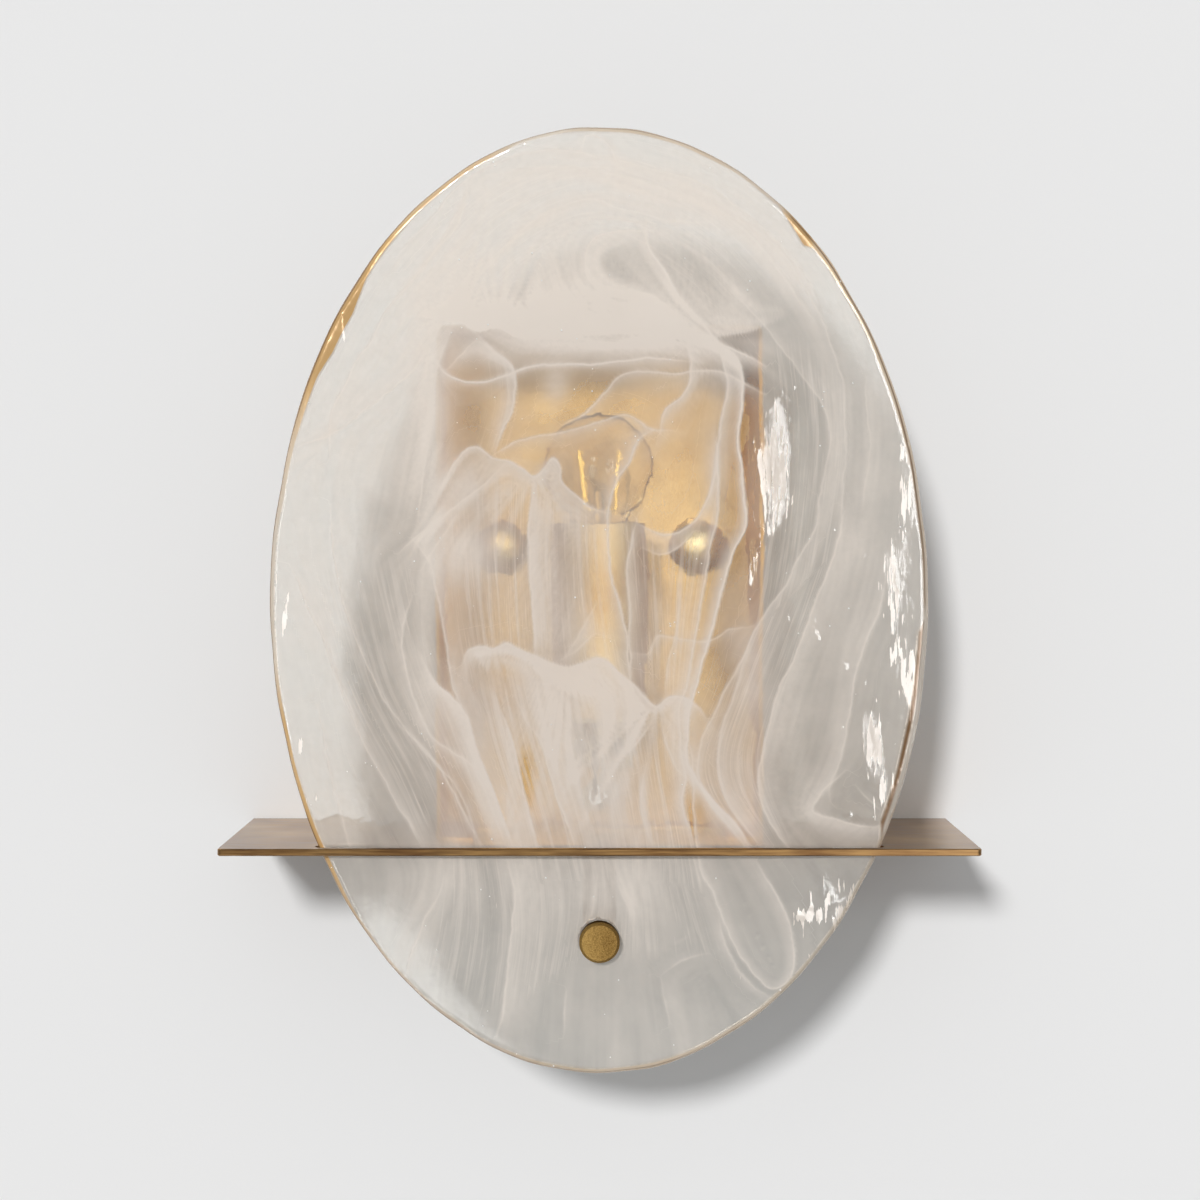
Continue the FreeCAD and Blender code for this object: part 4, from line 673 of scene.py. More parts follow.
# Broad clouds (+) and clear windows (-): middle, half width and half height in the same pixels,
# strength.
CLOUDS = [
    (557, 387, 14, 20, 0.35), (600, 312, 95, 22, 0.45), (560, 250, 150, 60, 0.12),
    (600, 190, 160, 40, 0.10), (432, 440, 14, 110, 0.30), (428, 640, 14, 90, 0.25),
    (560, 322, 130, 14, 0.22), (440, 300, 40, 40, 0.15), (590, 790, 70, 60, 0.25), (480, 720, 40, 50, 0.15),
    (470, 490, 60, 40, 0.12), (600, 440, 120, 70, 0.10), (420, 450, 90, 140, 0.14),
    (640, 250, 120, 80, 0.10), (560, 600, 45, 80, 0.12), (500, 870, 90, 50, 0.22), (620, 890, 60, 60, 0.20),
    (680, 860, 50, 40, 0.16), (740, 640, 30, 60, 0.20), (770, 740, 40, 90, 0.15), (540, 740, 60, 60, 0.10),
    (528, 772, 9, 34, -0.75), (697, 812, 11, 34, -0.50), (700, 600, 22, 90, -0.25),
    (575, 330, 40, 12, -0.10), (735, 470, 9, 70, -0.45), (590, 400, 50, 30, -0.20),
    (470, 420, 22, 50, -0.18), (440, 640, 12, 40, -0.25), (600, 590, 18, 60, -0.15),
    (660, 760, 20, 40, -0.12), (590, 780, 14, 50, -0.15), (610, 470, 150, 130, -0.20),
    (735, 590, 34, 130, -0.16), (480, 405, 50, 50, -0.14), (745, 390, 16, 60, -0.25),
    (500, 600, 60, 90, -0.06), (468, 556, 30, 30, 0.35), (330, 480, 60, 220, 0.12),
    (600, 230, 260, 90, 0.10), (480, 400, 40, 40, 0.10), (722, 480, 22, 50, 0.22),
    (600, 340, 130, 16, 0.16), (730, 690, 18, 40, -0.20), (430, 480, 20, 150, 0.18),
    (590, 350, 150, 14, 0.30), (750, 348, 16, 22, 0.25), (860, 450, 36, 90, 0.20), (440, 900, 60, 50, 0.12),
]


def smooth_path(corners, step=1.2):
    """Points along a smooth curve through the corners, step apart, and the unit way at each."""
    corners = np.array(corners, float)
    ends = np.vstack([2 * corners[0] - corners[1], corners, 2 * corners[-1] - corners[-2]])
    line = []
    for before, start, stop, after in zip(ends, ends[1:], ends[2:], ends[3:]):
        count = max(2, int(np.linalg.norm(stop - start) / step))
        t = np.linspace(0, 1, count, endpoint=False)[:, None]
        line.append(0.5 * (2 * start + (stop - before) * t
                           + (2 * before - 5 * start + 4 * stop - after) * t**2
                           + (3 * start - before - 3 * stop + after) * t**3))
    line = np.vstack(line + [corners[-1:]])
    way = np.gradient(line, axis=0)
    return line, way / np.linalg.norm(way, axis=1, keepdims=True)


def on_glass(corners):
    """Pixels of the photograph as millimetres on the glass, from its middle."""
    corners = np.array(corners, float) - PHOTO_MIDDLE
    return corners * (1, -1) / PHOTO_PIXELS


TAPER_POINTS = 8  # points of a path over which its end grows faint
PAST_END = 1.5  # mm past the end where it stops
END_LEVEL = 0.25  # what is left of it there


def beside(spots, corners, reach):
    """The spots within reach of a path: their numbers, signed distance mm (+ left), end fade, distance."""
    line, way = smooth_path(on_glass(corners))
    close = np.all((spots > line.min(0) - reach) & (spots < line.max(0) + reach), axis=1)
    picked = np.flatnonzero(close)
    gaps = spots[picked, None, :] - line[None]
    nearest = np.argmin((gaps**2).sum(2), axis=1)
    offset = gaps[np.arange(len(picked)), nearest]
    heading = way[nearest]
    side = heading[:, 0] * offset[:, 1] - heading[:, 1] * offset[:, 0]
    along = (heading * offset).sum(1)
    length = len(line)
    taper = np.clip(np.minimum(nearest, length - 1 - nearest) / TAPER_POINTS, 0, 1)
    taper *= np.exp(-(along / PAST_END)**2)
    return picked, side, END_LEVEL + (1 - END_LEVEL) * taper, np.hypot(side, along)


LAYERS = 4  # trails that lie close together are stored in different layers
LAYER_ROOM = 5.0  # mm between trails that share a layer
LINE_REACH = 7.0  # mm beside a trail that are worked out at least
FAR = 9.0  # mm, stored where no trail is near
SHARP_SIDE = 0.7  # mm over which the white ends on a trail's sharp side
END_SOFT = 6.0  # mm over which it fades past a trail's end
MOST_MILK = 0.85  # where many trails and clouds lie over each other


def lay_trails(mesh):
    """Stores on the glass's front how milky it is and how near each trail's edge lies."""
    count = len(mesh.vertices)
    place = np.zeros(count * 3)
    mesh.vertices.foreach_get("co", place)
    place = place.reshape(-1, 3)
    spots = (place[:, [0, 2]] - (0, GLASS_MIDDLE)) / MM
    middle = glass_face(place[:, 0], place[:, 2], GLASS_THICK / 2)
    front = place[:, 1] < middle
    milk = np.zeros(count)
    for x, y, wide, high, strength in CLOUDS:
        offset = (spots - on_glass((x, y))) / (np.array((wide, high)) / PHOTO_PIXELS)
        milk += strength * np.exp(-(offset**2).sum(1))
    layers = np.zeros((LAYERS, count, 3))
    layers[:, :, 0] = FAR
    layers[:, :, 2] = 1.0
    taken = [[] for layer in range(LAYERS)]
    for width, line_strength, fade, fade_strength, corners in TRAILS:
        reach = max(LINE_REACH, 3 * abs(fade))
        picked, side, taper, far = beside(spots, corners, reach)
        turned_side = side if fade > 0 else -side
        ahead = np.maximum(turned_side, 0) / abs(fade)
        sharp = np.maximum(-turned_side, 0) / SHARP_SIDE
        near_end = np.where(far > np.abs(side) + 2.0, np.exp(-((far - np.abs(side) - 2) / END_SOFT)**2),
                            1.0)
        milk[picked] += fade_strength * np.exp(-ahead**1.3 - sharp**2) * near_end * taper
        line, way = smooth_path(on_glass(corners), 3.0)
        clearances = [min([np.min(np.hypot(*(line[:, None] - other[None]).transpose(2, 0, 1)))
                           for other in layer] or [1e9]) for layer in taken]
        roomy = [k for k, gap in enumerate(clearances) if gap > LAYER_ROOM]
        layer = roomy[0] if roomy else int(np.argmax(clearances))
        taken[layer].append(line)
        closer = far < np.abs(layers[layer, picked, 0])
        rows = picked[closer]
        layers[layer, rows, 0] = np.where(far > np.abs(side) + 1.0, far, turned_side)[closer]
        layers[layer, rows, 1] = (line_strength * taper)[closer]
        layers[layer, rows, 2] = width
    milk[~front] = 0
    layers[:, ~front, 1] = 0
    milk = np.where(milk > 0, MOST_MILK * (1 - np.exp(-1.35 * milk)), milk)
    store = mesh.attributes.new("milk", "FLOAT", "POINT")
    store.data.foreach_set("value", np.clip(milk, -1, 1))
    for number, layer in enumerate(layers):
        store = mesh.attributes.new(f"trail_{number}", "FLOAT_VECTOR", "POINT")
        store.data.foreach_set("vector", layer.ravel())
    return spots, front


# The rim round the oval: degrees from the right-hand end, anticlockwise; width of the coloured band mm,
# its strength, its tone (0 brown, 0.5 gold, 1 pale); the dark line's place in from the edge mm, its half
# width mm and strength; the strength of the painted highlight line inside the band.
RIM = [
    (0, 2.2, 0.45, 0.85, 1.8, 0.60, 0.80, 0.8), (15, 2.4, 0.55, 0.80, 1.8, 0.65, 0.90, 0.8),
    (33, 2.4, 0.65, 0.75, 1.0, 0.40, 0.90, 0.4), (49, 2.6, 0.65, 0.60, 0.9, 0.40, 0.90, 0.3),
    (50.5, 5.0, 1.00, 0.25, 1.0, 0.40, 0.80, 0.0), (54, 3.2, 0.90, 0.30, 1.0, 0.40, 0.80, 0.0),
    (57, 1.6, 0.20, 0.70, 0.6, 0.30, 0.40, 0.0), (72, 2.2, 0.60, 0.75, 0.7, 0.33, 0.75, 0.2),
    (90, 2.0, 0.60, 0.80, 0.6, 0.33, 0.70, 0.2), (104, 1.8, 0.35, 0.80, 0.5, 0.30, 0.40, 0.2),
    (110, 2.2, 0.85, 0.65, 0.4, 0.30, 0.80, 0.1), (125, 2.6, 0.95, 0.60, 0.4, 0.30, 0.80, 0.1),
    (136, 3.0, 1.00, 0.40, 0.6, 0.45, 0.85, 0.4), (141, 6.0, 1.00, 0.36, 0.6, 0.45, 0.85, 0.3),
    (147, 5.5, 1.00, 0.36, 0.6, 0.45, 0.85, 0.2), (151, 3.4, 0.95, 0.42, 0.6, 0.45, 0.85, 0.2),
    (160, 2.6, 0.80, 0.75, 0.4, 0.30, 0.80, 0.3), (172, 2.0, 0.60, 0.95, 0.35, 0.30, 0.80, 0.9),
    (186, 1.9, 0.60, 0.90, 0.35, 0.30, 0.80, 1.0), (195, 2.0, 0.90, 0.50, 0.35, 0.30, 0.75, 0.6),
    (212, 2.2, 0.95, 0.45, 0.35, 0.30, 0.75, 0.3), (222, 1.6, 0.60, 0.60, 0.4, 0.30, 0.60, 0.2),
    (240, 1.8, 0.50, 0.75, 0.6, 0.33, 0.70, 0.2), (262, 2.2, 0.60, 0.75, 0.8, 0.33, 0.70, 0.3),
    (290, 2.2, 0.60, 0.80, 0.9, 0.33, 0.60, 0.3), (318, 2.0, 0.40, 0.85, 0.9, 0.33, 0.40, 0.5),
    (329, 2.0, 0.40, 0.85, 0.9, 0.33, 0.40, 0.5), (331, 4.6, 0.25, 1.00, 3.4, 1.35, 1.00, 0.5),
    (347, 4.8, 0.25, 1.00, 3.6, 1.35, 1.00, 0.9), (356, 4.4, 0.25, 1.00, 3.3, 1.20, 0.95, 0.8),
    (357.5, 2.0, 0.35, 0.95, 1.9, 0.33, 0.45, 0.8),
]


def lay_rim(mesh, spots):
    """Stores how far in from the outline each point lies, and the rim's coloured band, dark line and painted
    highlight line there.
    """
    turn = np.arctan2(spots[:, 1] * GLASS_HALF_WIDE, spots[:, 0] * GLASS_HALF_HIGH)
    edge, out = rim_point(turn)
    inward = ((edge / MM - spots) * out).sum(1)
    marks = np.array(RIM)
    wide, rim_band_share, tone, place, half, dark, painted_gleam = (
        np.interp(np.degrees(turn) % 360, marks[:, 0], column, period=360) for column in marks[:, 1:].T)
    layers = {"rim": (inward, rim_band_share, tone), "rim_line": (wide, place, half),
              "rim_light": (dark, painted_gleam, dark)}
    for name, values in layers.items():
        store = mesh.attributes.new(name, "FLOAT_VECTOR", "POINT")
        store.data.foreach_set("vector", np.stack(values, -1).ravel())


def sampled(field, spots, low, step):
    """Values of a grid field at the spots, blended between its points."""
    place = np.clip((spots - low) / step, 0, np.array(field.shape[:2]) - 1.001)
    corner = place.astype(int)
    share = place - corner
    total = 0
    for i in (0, 1):
        for j in (0, 1):
            weight = np.abs(1 - i - share[:, 0]) * np.abs(1 - j - share[:, 1])
            value = field[corner[:, 0] + i, corner[:, 1] + j]
            total = total + (weight[:, None] if value.ndim > 1 else weight) * value
    return total


FLOW_STEP = 5.0  # mm
FLOW_REACH = np.array((145.0, 205.0))  # mm each way from the glass's middle
UPRIGHT_PULL = 2e-5  # where no trail is near, the glass was combed upright


def flow_field():
    """The way the glass was combed, on a coarse grid, as doubled angles: it follows the trails."""
    across = np.arange(-FLOW_REACH[0], FLOW_REACH[0] + FLOW_STEP, FLOW_STEP)
    upward = np.arange(-FLOW_REACH[1], FLOW_REACH[1] + FLOW_STEP, FLOW_STEP)
    grid = np.stack(np.meshgrid(across, upward, indexing="ij"), -1)
    field = np.zeros(grid.shape)
    field[..., 0] = -UPRIGHT_PULL
    for width, strength, fade, fade_strength, corners in TRAILS:
        line, way = smooth_path(on_glass(corners), 4.0)
        doubled = np.stack([way[:, 0]**2 - way[:, 1]**2, 2 * way[:, 0] * way[:, 1]], -1)
        gap = ((grid[:, :, None] - line)**2).sum(-1)
        pull = (strength + fade_strength) / (gap + 20.0)**2
        field += (pull[..., None] * doubled).sum(2)
    return field


# Streaks, fine to broad: width mm, step mm along the combing, steps each way, seed.
STREAK_SETS = [(1.5, 1.2, 14, 31), (4.5, 2.4, 18, 32), (12.0, 5.0, 14, 33)]


def streaks(spots, cell, step, steps, seed):
    """Noise drawn out along the combing: about -1 to 1 at each spot."""
    field = flow_field()
    low = -FLOW_REACH
    chance = np.random.default_rng(seed)
    noise = chance.standard_normal((int(2 * FLOW_REACH[0] / cell) + 2, int(2 * FLOW_REACH[1] / cell) + 2))
    total = sampled(noise, spots, low, cell)
    for sense in (1, -1):
        place = spots.copy()
        heading = None
        for number in range(steps):
            doubled = sampled(field, place, low, FLOW_STEP)
            angle = np.arctan2(doubled[:, 1], doubled[:, 0]) / 2
            way = np.stack([np.cos(angle), np.sin(angle)], -1)
            if heading is None:
                way = way * sense
            else:
                way = way * np.where((way * heading).sum(1) < 0, -1, 1)[:, None]
            heading = way
            place = place + way * step
            total = total + sampled(noise, place, low, cell)
    return total / total.std()


# Combed strands: strength, then guide lines from left to right, each running down, in pixels.
COMBS = [
    (0.42, [[(438, 500), (444, 560), (454, 640), (470, 706)],
            [(500, 470), (500, 560), (506, 655)],
            [(545, 480), (541, 560), (543, 660)],
            [(607, 515), (614, 590), (634, 692)]]),
    (0.34, [[(618, 500), (626, 600), (634, 690)],
            [(662, 540), (666, 620), (668, 700)],
            [(724, 500), (706, 600), (690, 700), (682, 770)]]),
    (0.45, [[(464, 660), (480, 740), (512, 843), (516, 900)],
            [(530, 660), (548, 740), (576, 843), (590, 900)],
            [(620, 680), (634, 740), (652, 843), (650, 900)],
            [(706, 716), (694, 780), (704, 843), (720, 900)]]),
    (0.30, [[(300, 560), (340, 690), (392, 790), (420, 850)],
            [(360, 560), (390, 680), (436, 770), (466, 850)],
            [(414, 540), (436, 640), (474, 760), (508, 850)]]),
    (0.36, [[(742, 640), (712, 720), (700, 780), (746, 850)],
            [(790, 580), (752, 680), (728, 770), (770, 850)],
            [(846, 520), (806, 640), (770, 760), (796, 850)]]),
    (0.30, [[(766, 330), (774, 420), (764, 540), (752, 640)],
            [(800, 330), (808, 430), (796, 560), (770, 660)],
            [(850, 380), (850, 470), (830, 580), (796, 680)]]),
    (0.30, [[(430, 850), (424, 900), (412, 960)],
            [(500, 850), (510, 930), (500, 1020)],
            [(600, 850), (600, 900), (590, 960)],
            [(700, 850), (716, 900), (740, 960)]]),
    (0.30, [[(424, 350), (426, 430), (416, 520)],
            [(444, 350), (444, 430), (436, 500)]]),
    (0.22, [[(480, 340), (486, 400), (470, 460)],
            [(512, 350), (520, 400), (506, 460)]]),
    (0.26, [[(392, 300), (470, 190), (600, 152), (720, 196), (800, 270)],
            [(430, 320), (500, 230), (600, 190), (700, 230), (770, 300)],
            [(470, 330), (530, 270), (600, 240), (680, 280), (740, 340)]]),
]
PATCH_ROWS = 140
PATCH_COLUMNS = 70
GRID_REACH = 1.5  # steps of the patch's grid from its nearest point that still lie on it
SIDE_FADE, END_FADE = 0.08, 0.12  # shares of a patch over which its strands fade out
COMBS_APART = 70  # mm, so that no two combs share their strands


def comb_patch(guides):
    """Points of the sheet of glass between the guides, across by along, in mm."""
    lines = []
    for corners in guides:
        line, way = smooth_path(on_glass(corners))
        length = np.concatenate([[0.0], np.cumsum(np.hypot(*np.diff(line, axis=0).T))])
        share = np.linspace(0, length[-1], PATCH_ROWS)
        lines.append(np.stack([np.interp(share, length, line[:, axis]) for axis in (0, 1)], -1))
    lines = np.array(lines)
    places = np.linspace(0, len(guides) - 1, PATCH_COLUMNS)
    low = np.minimum(places.astype(int), len(guides) - 2)
    share = (places - low)[:, None, None]
    return lines[low] * (1 - share) + lines[low + 1] * share


def lay_combs(mesh, spots, front):
    """Stores for each point of the front its place across and along its comb, in mm, and the strength."""
    combed = np.zeros((len(spots), 3))
    for number, (strength, guides) in enumerate(COMBS):
        patch = comb_patch(guides)
        tree = KDTree(patch.size // 2)
        for k, point in enumerate(patch.reshape(-1, 2)):
            tree.insert((*point, 0.0), k)
        tree.balance()
        flat = patch.reshape(-1, 2)
        near = np.all((spots > flat.min(0)) & (spots < flat.max(0)), axis=1) & front
        rows = np.flatnonzero(near)
        found = np.array([tree.find((*spots[row], 0.0))[1] for row in rows])
        across, along = np.divmod(found, PATCH_ROWS)
        by_across = np.gradient(patch, axis=0)[across, along]
        by_along = np.gradient(patch, axis=1)[across, along]
        gap = spots[rows] - patch[across, along]
        area = by_across[:, 0] * by_along[:, 1] - by_across[:, 1] * by_along[:, 0]
        step_across = (gap[:, 0] * by_along[:, 1] - gap[:, 1] * by_along[:, 0]) / area
        step_along = (by_across[:, 0] * gap[:, 1] - by_across[:, 1] * gap[:, 0]) / area
        inside = (np.abs(step_across) < GRID_REACH) & (np.abs(step_along) < GRID_REACH)
        share = (across + step_across) / (PATCH_COLUMNS - 1)
        run = (along + step_along) / (PATCH_ROWS - 1)
        edge = np.clip(np.minimum(share, 1 - share) / SIDE_FADE, 0, 1)
        edge *= np.clip(np.minimum(run, 1 - run) / END_FADE, 0, 1)
        weight = np.where(inside, strength * edge, 0)
        better = weight > combed[rows, 2]
        wide = np.hypot(*(patch[-1] - patch[0]).mean(0))
        tall = np.hypot(*np.diff(patch, axis=1).transpose(2, 0, 1)).sum(1).mean()
        combed[rows[better]] = np.stack([share * wide + COMBS_APART * number, run * tall, weight], -1)[better]
    store = mesh.attributes.new("comb", "FLOAT_VECTOR", "POINT")
    store.data.foreach_set("vector", combed.ravel())


glass_spots, glass_front = lay_trails(glass.data)
lay_combs(glass.data, glass_spots, glass_front)
lay_rim(glass.data, glass_spots)

streak_store = glass.data.attributes.new("streaks", "FLOAT_VECTOR", "POINT")
streak_store.data.foreach_set("vector", np.stack([streaks(glass_spots, *one) for one in STREAK_SETS],
                                                 -1).ravel())

# Waves of the kiln's mould: broad dimples, finer ripples near the right rim and below the shelf.
WAVES = [
    # wavelength mm, way in degrees, height mm, middle x, z and half width, half height in mm
    (46.0, 20, 0.16, 0, 0, 400, 400), (33.0, 75, 0.10, 0, 0, 400, 400), (27.0, 130, 0.06, 0, 0, 400, 400),
    (15.0, 5, 0.05, 60, 20, 60, 120), (11.0, -12, 0.045, 88, -20, 40, 110),
    (9.0, 84, 0.035, 0, -165, 75, 18), (12.0, 8, 0.04, -95, -20, 26, 110),
]

# Swells whose right-hand flank leans to the lamp on the right: middle, half width and half height in
# the photograph's pixels, and slope.
SWELLS = [(774, 470, 30, 66, 0.14), (874, 740, 18, 36, 0.08), (884, 795, 12, 24, 0.06),
          (840, 905, 30, 40, 0.08), (803, 914, 18, 10, 0.10), (898, 610, 14, 80, 0.03)]

SEAT_CALM = (1.0, 6.0)  # mm beyond the seat where the waves begin, and over which they grow
SHELF_CALM = (4.0, 12.0)  # the same above and below the shelf
SHELF_WAVES = 0.15  # share of the waves that is left in the shelf's slot
REAR_SHARE = 0.5  # the rear face waves half as much, the other way

shelf_low, shelf_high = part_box("shelf_plate")
SHELF_LEVEL = (shelf_low.z + shelf_high.z) / 2


def wave_glass(mesh, spots, front):
    """Moves each face in and out by the mould's waves, least in the shelf's slot and none at the seat."""
    place = np.zeros(len(spots) * 3)
    mesh.vertices.foreach_get("co", place)
    place = place.reshape(-1, 3)
    seat = (spots - (0, (KNOB_LEVEL - GLASS_MIDDLE) / MM))
    calm = np.clip((np.hypot(*seat.T) - SEAT_RADIUS / MM - SEAT_CALM[0]) / SEAT_CALM[1], 0, 1)
    shelf = np.abs(spots[:, 1] - (SHELF_LEVEL - GLASS_MIDDLE) / MM)
    calm *= np.clip((shelf - SHELF_CALM[0]) / SHELF_CALM[1], SHELF_WAVES, 1)
    chance = np.random.default_rng(11)
    lift = np.zeros(len(spots))
    for length, way, height, x, z, wide, high in WAVES:
        along = spots @ (math.cos(math.radians(way)), math.sin(math.radians(way)))
        across = spots @ (-math.sin(math.radians(way)), math.cos(math.radians(way)))
        bend = 2.2 * np.sin(across / length * 1.7 + chance.uniform(0, 6)) + chance.uniform(0, 6)
        window = np.exp(-((spots[:, 0] - x) / wide)**2 - ((spots[:, 1] - z) / high)**2)
        lift += height * window * np.sin(2 * math.pi * along / length + bend)
    for x, y, wide, high, slope in SWELLS:
        offset = spots - on_glass((x, y))
        window = np.exp(-(offset[:, 0] * PHOTO_PIXELS / wide)**2 - (offset[:, 1] * PHOTO_PIXELS / high)**2)
        lift += slope * offset[:, 0] * window
    place[:, 1] += np.where(front, lift, -REAR_SHARE * lift) * calm * MM
    mesh.vertices.foreach_set("co", place.ravel())
    mesh.update()


wave_glass(glass.data, glass_spots, glass_front)

# Patches of crinkle, where a highlight is also painted: middle, half width and half height in the
# photograph's pixels, strength.
CRINKLES = [
    (772, 468, 20, 62, 0.95), (892, 600, 14, 90, 0.58), (905, 480, 10, 60, 0.62), (907, 680, 10, 50, 0.80),
    (874, 742, 12, 32, 0.90), (884, 792, 12, 26, 0.66), (840, 905, 28, 38, 0.68), (803, 914, 14, 10, 0.80),
    (287, 610, 6, 40, 0.60), (300, 745, 6, 12, 0.70), (313, 800, 6, 12, 0.70), (752, 575, 5, 50, 0.60),
    (276, 590, 3, 55, 0.55), (345, 330, 5, 50, 0.45),
]


def lay_crinkle(mesh, spots, front):
    """Stores where the front face is finely crinkled and flashes, and so where a highlight is painted white.
    """
    crinkle = np.zeros(len(spots))
    for x, y, wide, high, strength in CRINKLES:
        offset = (spots - on_glass((x, y))) / (np.array((wide, high)) / PHOTO_PIXELS)
        crinkle += strength * np.exp(-(offset**2).sum(1))
    crinkle[~front] = 0
    store = mesh.attributes.new("crinkle", "FLOAT", "POINT")
    store.data.foreach_set("value", np.clip(crinkle, 0, 1.5))


lay_crinkle(glass.data, glass_spots, glass_front)


def trail_profile():
    """Node group: how white a trail's edge line is, from its distance, strength and width."""
    group = bpy.data.node_groups.new("trail_profile", "ShaderNodeTree")
    group.interface.new_socket("Trail", in_out="INPUT", socket_type="NodeSocketVector")
    group.interface.new_socket("Waver", in_out="INPUT", socket_type="NodeSocketFloat")
    group.interface.new_socket("White", in_out="OUTPUT", socket_type="NodeSocketFloat")
    given = add(group, "NodeGroupInput").outputs
    parts = add(group, "ShaderNodeSeparateXYZ", {0: given["Trail"]}).outputs
    side = add(group, "ShaderNodeMath", {0: parts["X"], 1: given["Waver"]}, operation="ADD")
    inside = add(group, "ShaderNodeMath", {0: side, 1: 0.0}, operation="MAXIMUM")
    faded = add(group, "ShaderNodeMath", {0: inside, 1: parts["Z"]}, operation="DIVIDE")
    outside = add(group, "ShaderNodeMath", {0: side, 1: 0.0}, operation="MINIMUM")
    crisp = add(group, "ShaderNodeMath", {0: outside, 1: -0.6}, operation="DIVIDE")
    crisp = add(group, "ShaderNodeMath", {0: crisp, 1: 2.0}, operation="POWER")
    fall = add(group, "ShaderNodeMath", {0: faded, 1: crisp}, operation="ADD")
    fall = add(group, "ShaderNodeMath", {0: fall, 1: -1.0}, operation="MULTIPLY")
    line = add(group, "ShaderNodeMath", {0: fall}, operation="EXPONENT")
    core = add(group, "ShaderNodeMath", {0: side, 1: 0.45}, operation="DIVIDE")
    core = add(group, "ShaderNodeMath", {0: core, 1: 2.0}, operation="POWER")
    core = add(group, "ShaderNodeMath", {0: core, 1: -1.0}, operation="MULTIPLY")
    core = add(group, "ShaderNodeMath", {0: core}, operation="EXPONENT")
    line = add(group, "ShaderNodeMath", {0: core, 1: 0.7, 2: line}, operation="MULTIPLY_ADD")
    white = add(group, "ShaderNodeMath", {0: line, 1: parts["Y"]}, operation="MULTIPLY", use_clamp=True)
    add(group, "NodeGroupOutput", {"White": white})
    return group


# How often each pattern comes to a millimetre of the glass.
WAVER_GRAIN = 0.09  # the trails wander over 11 mm
RAGGED_GRAIN = 0.5  # the white is ragged over 2 mm
HAZE_GRAIN = 0.035  # the haze drifts over 29 mm
BROAD_STRANDS = 0.38  # 2.6 mm apart
FINE_STRANDS = 1.1  # 0.9 mm apart
# the rim's bright line is a painted highlight
GLEAM_GRAIN = 0.16  # the rim's bright line breaks about every 6 mm
TINE_GRAIN = 0.55  # crinkles 1.8 mm apart
SKIN_GRAIN = 0.12  # the skin rolls over 8 mm
WAVER_REACH = 3.0  # mm that a trail wanders in all
STREAK_SHARES = (0.05, 0.08, 0.10)  # of the fine, middle and broad streaks
STRAND_DRAW = 0.035  # strands are this many times as wide as they are long


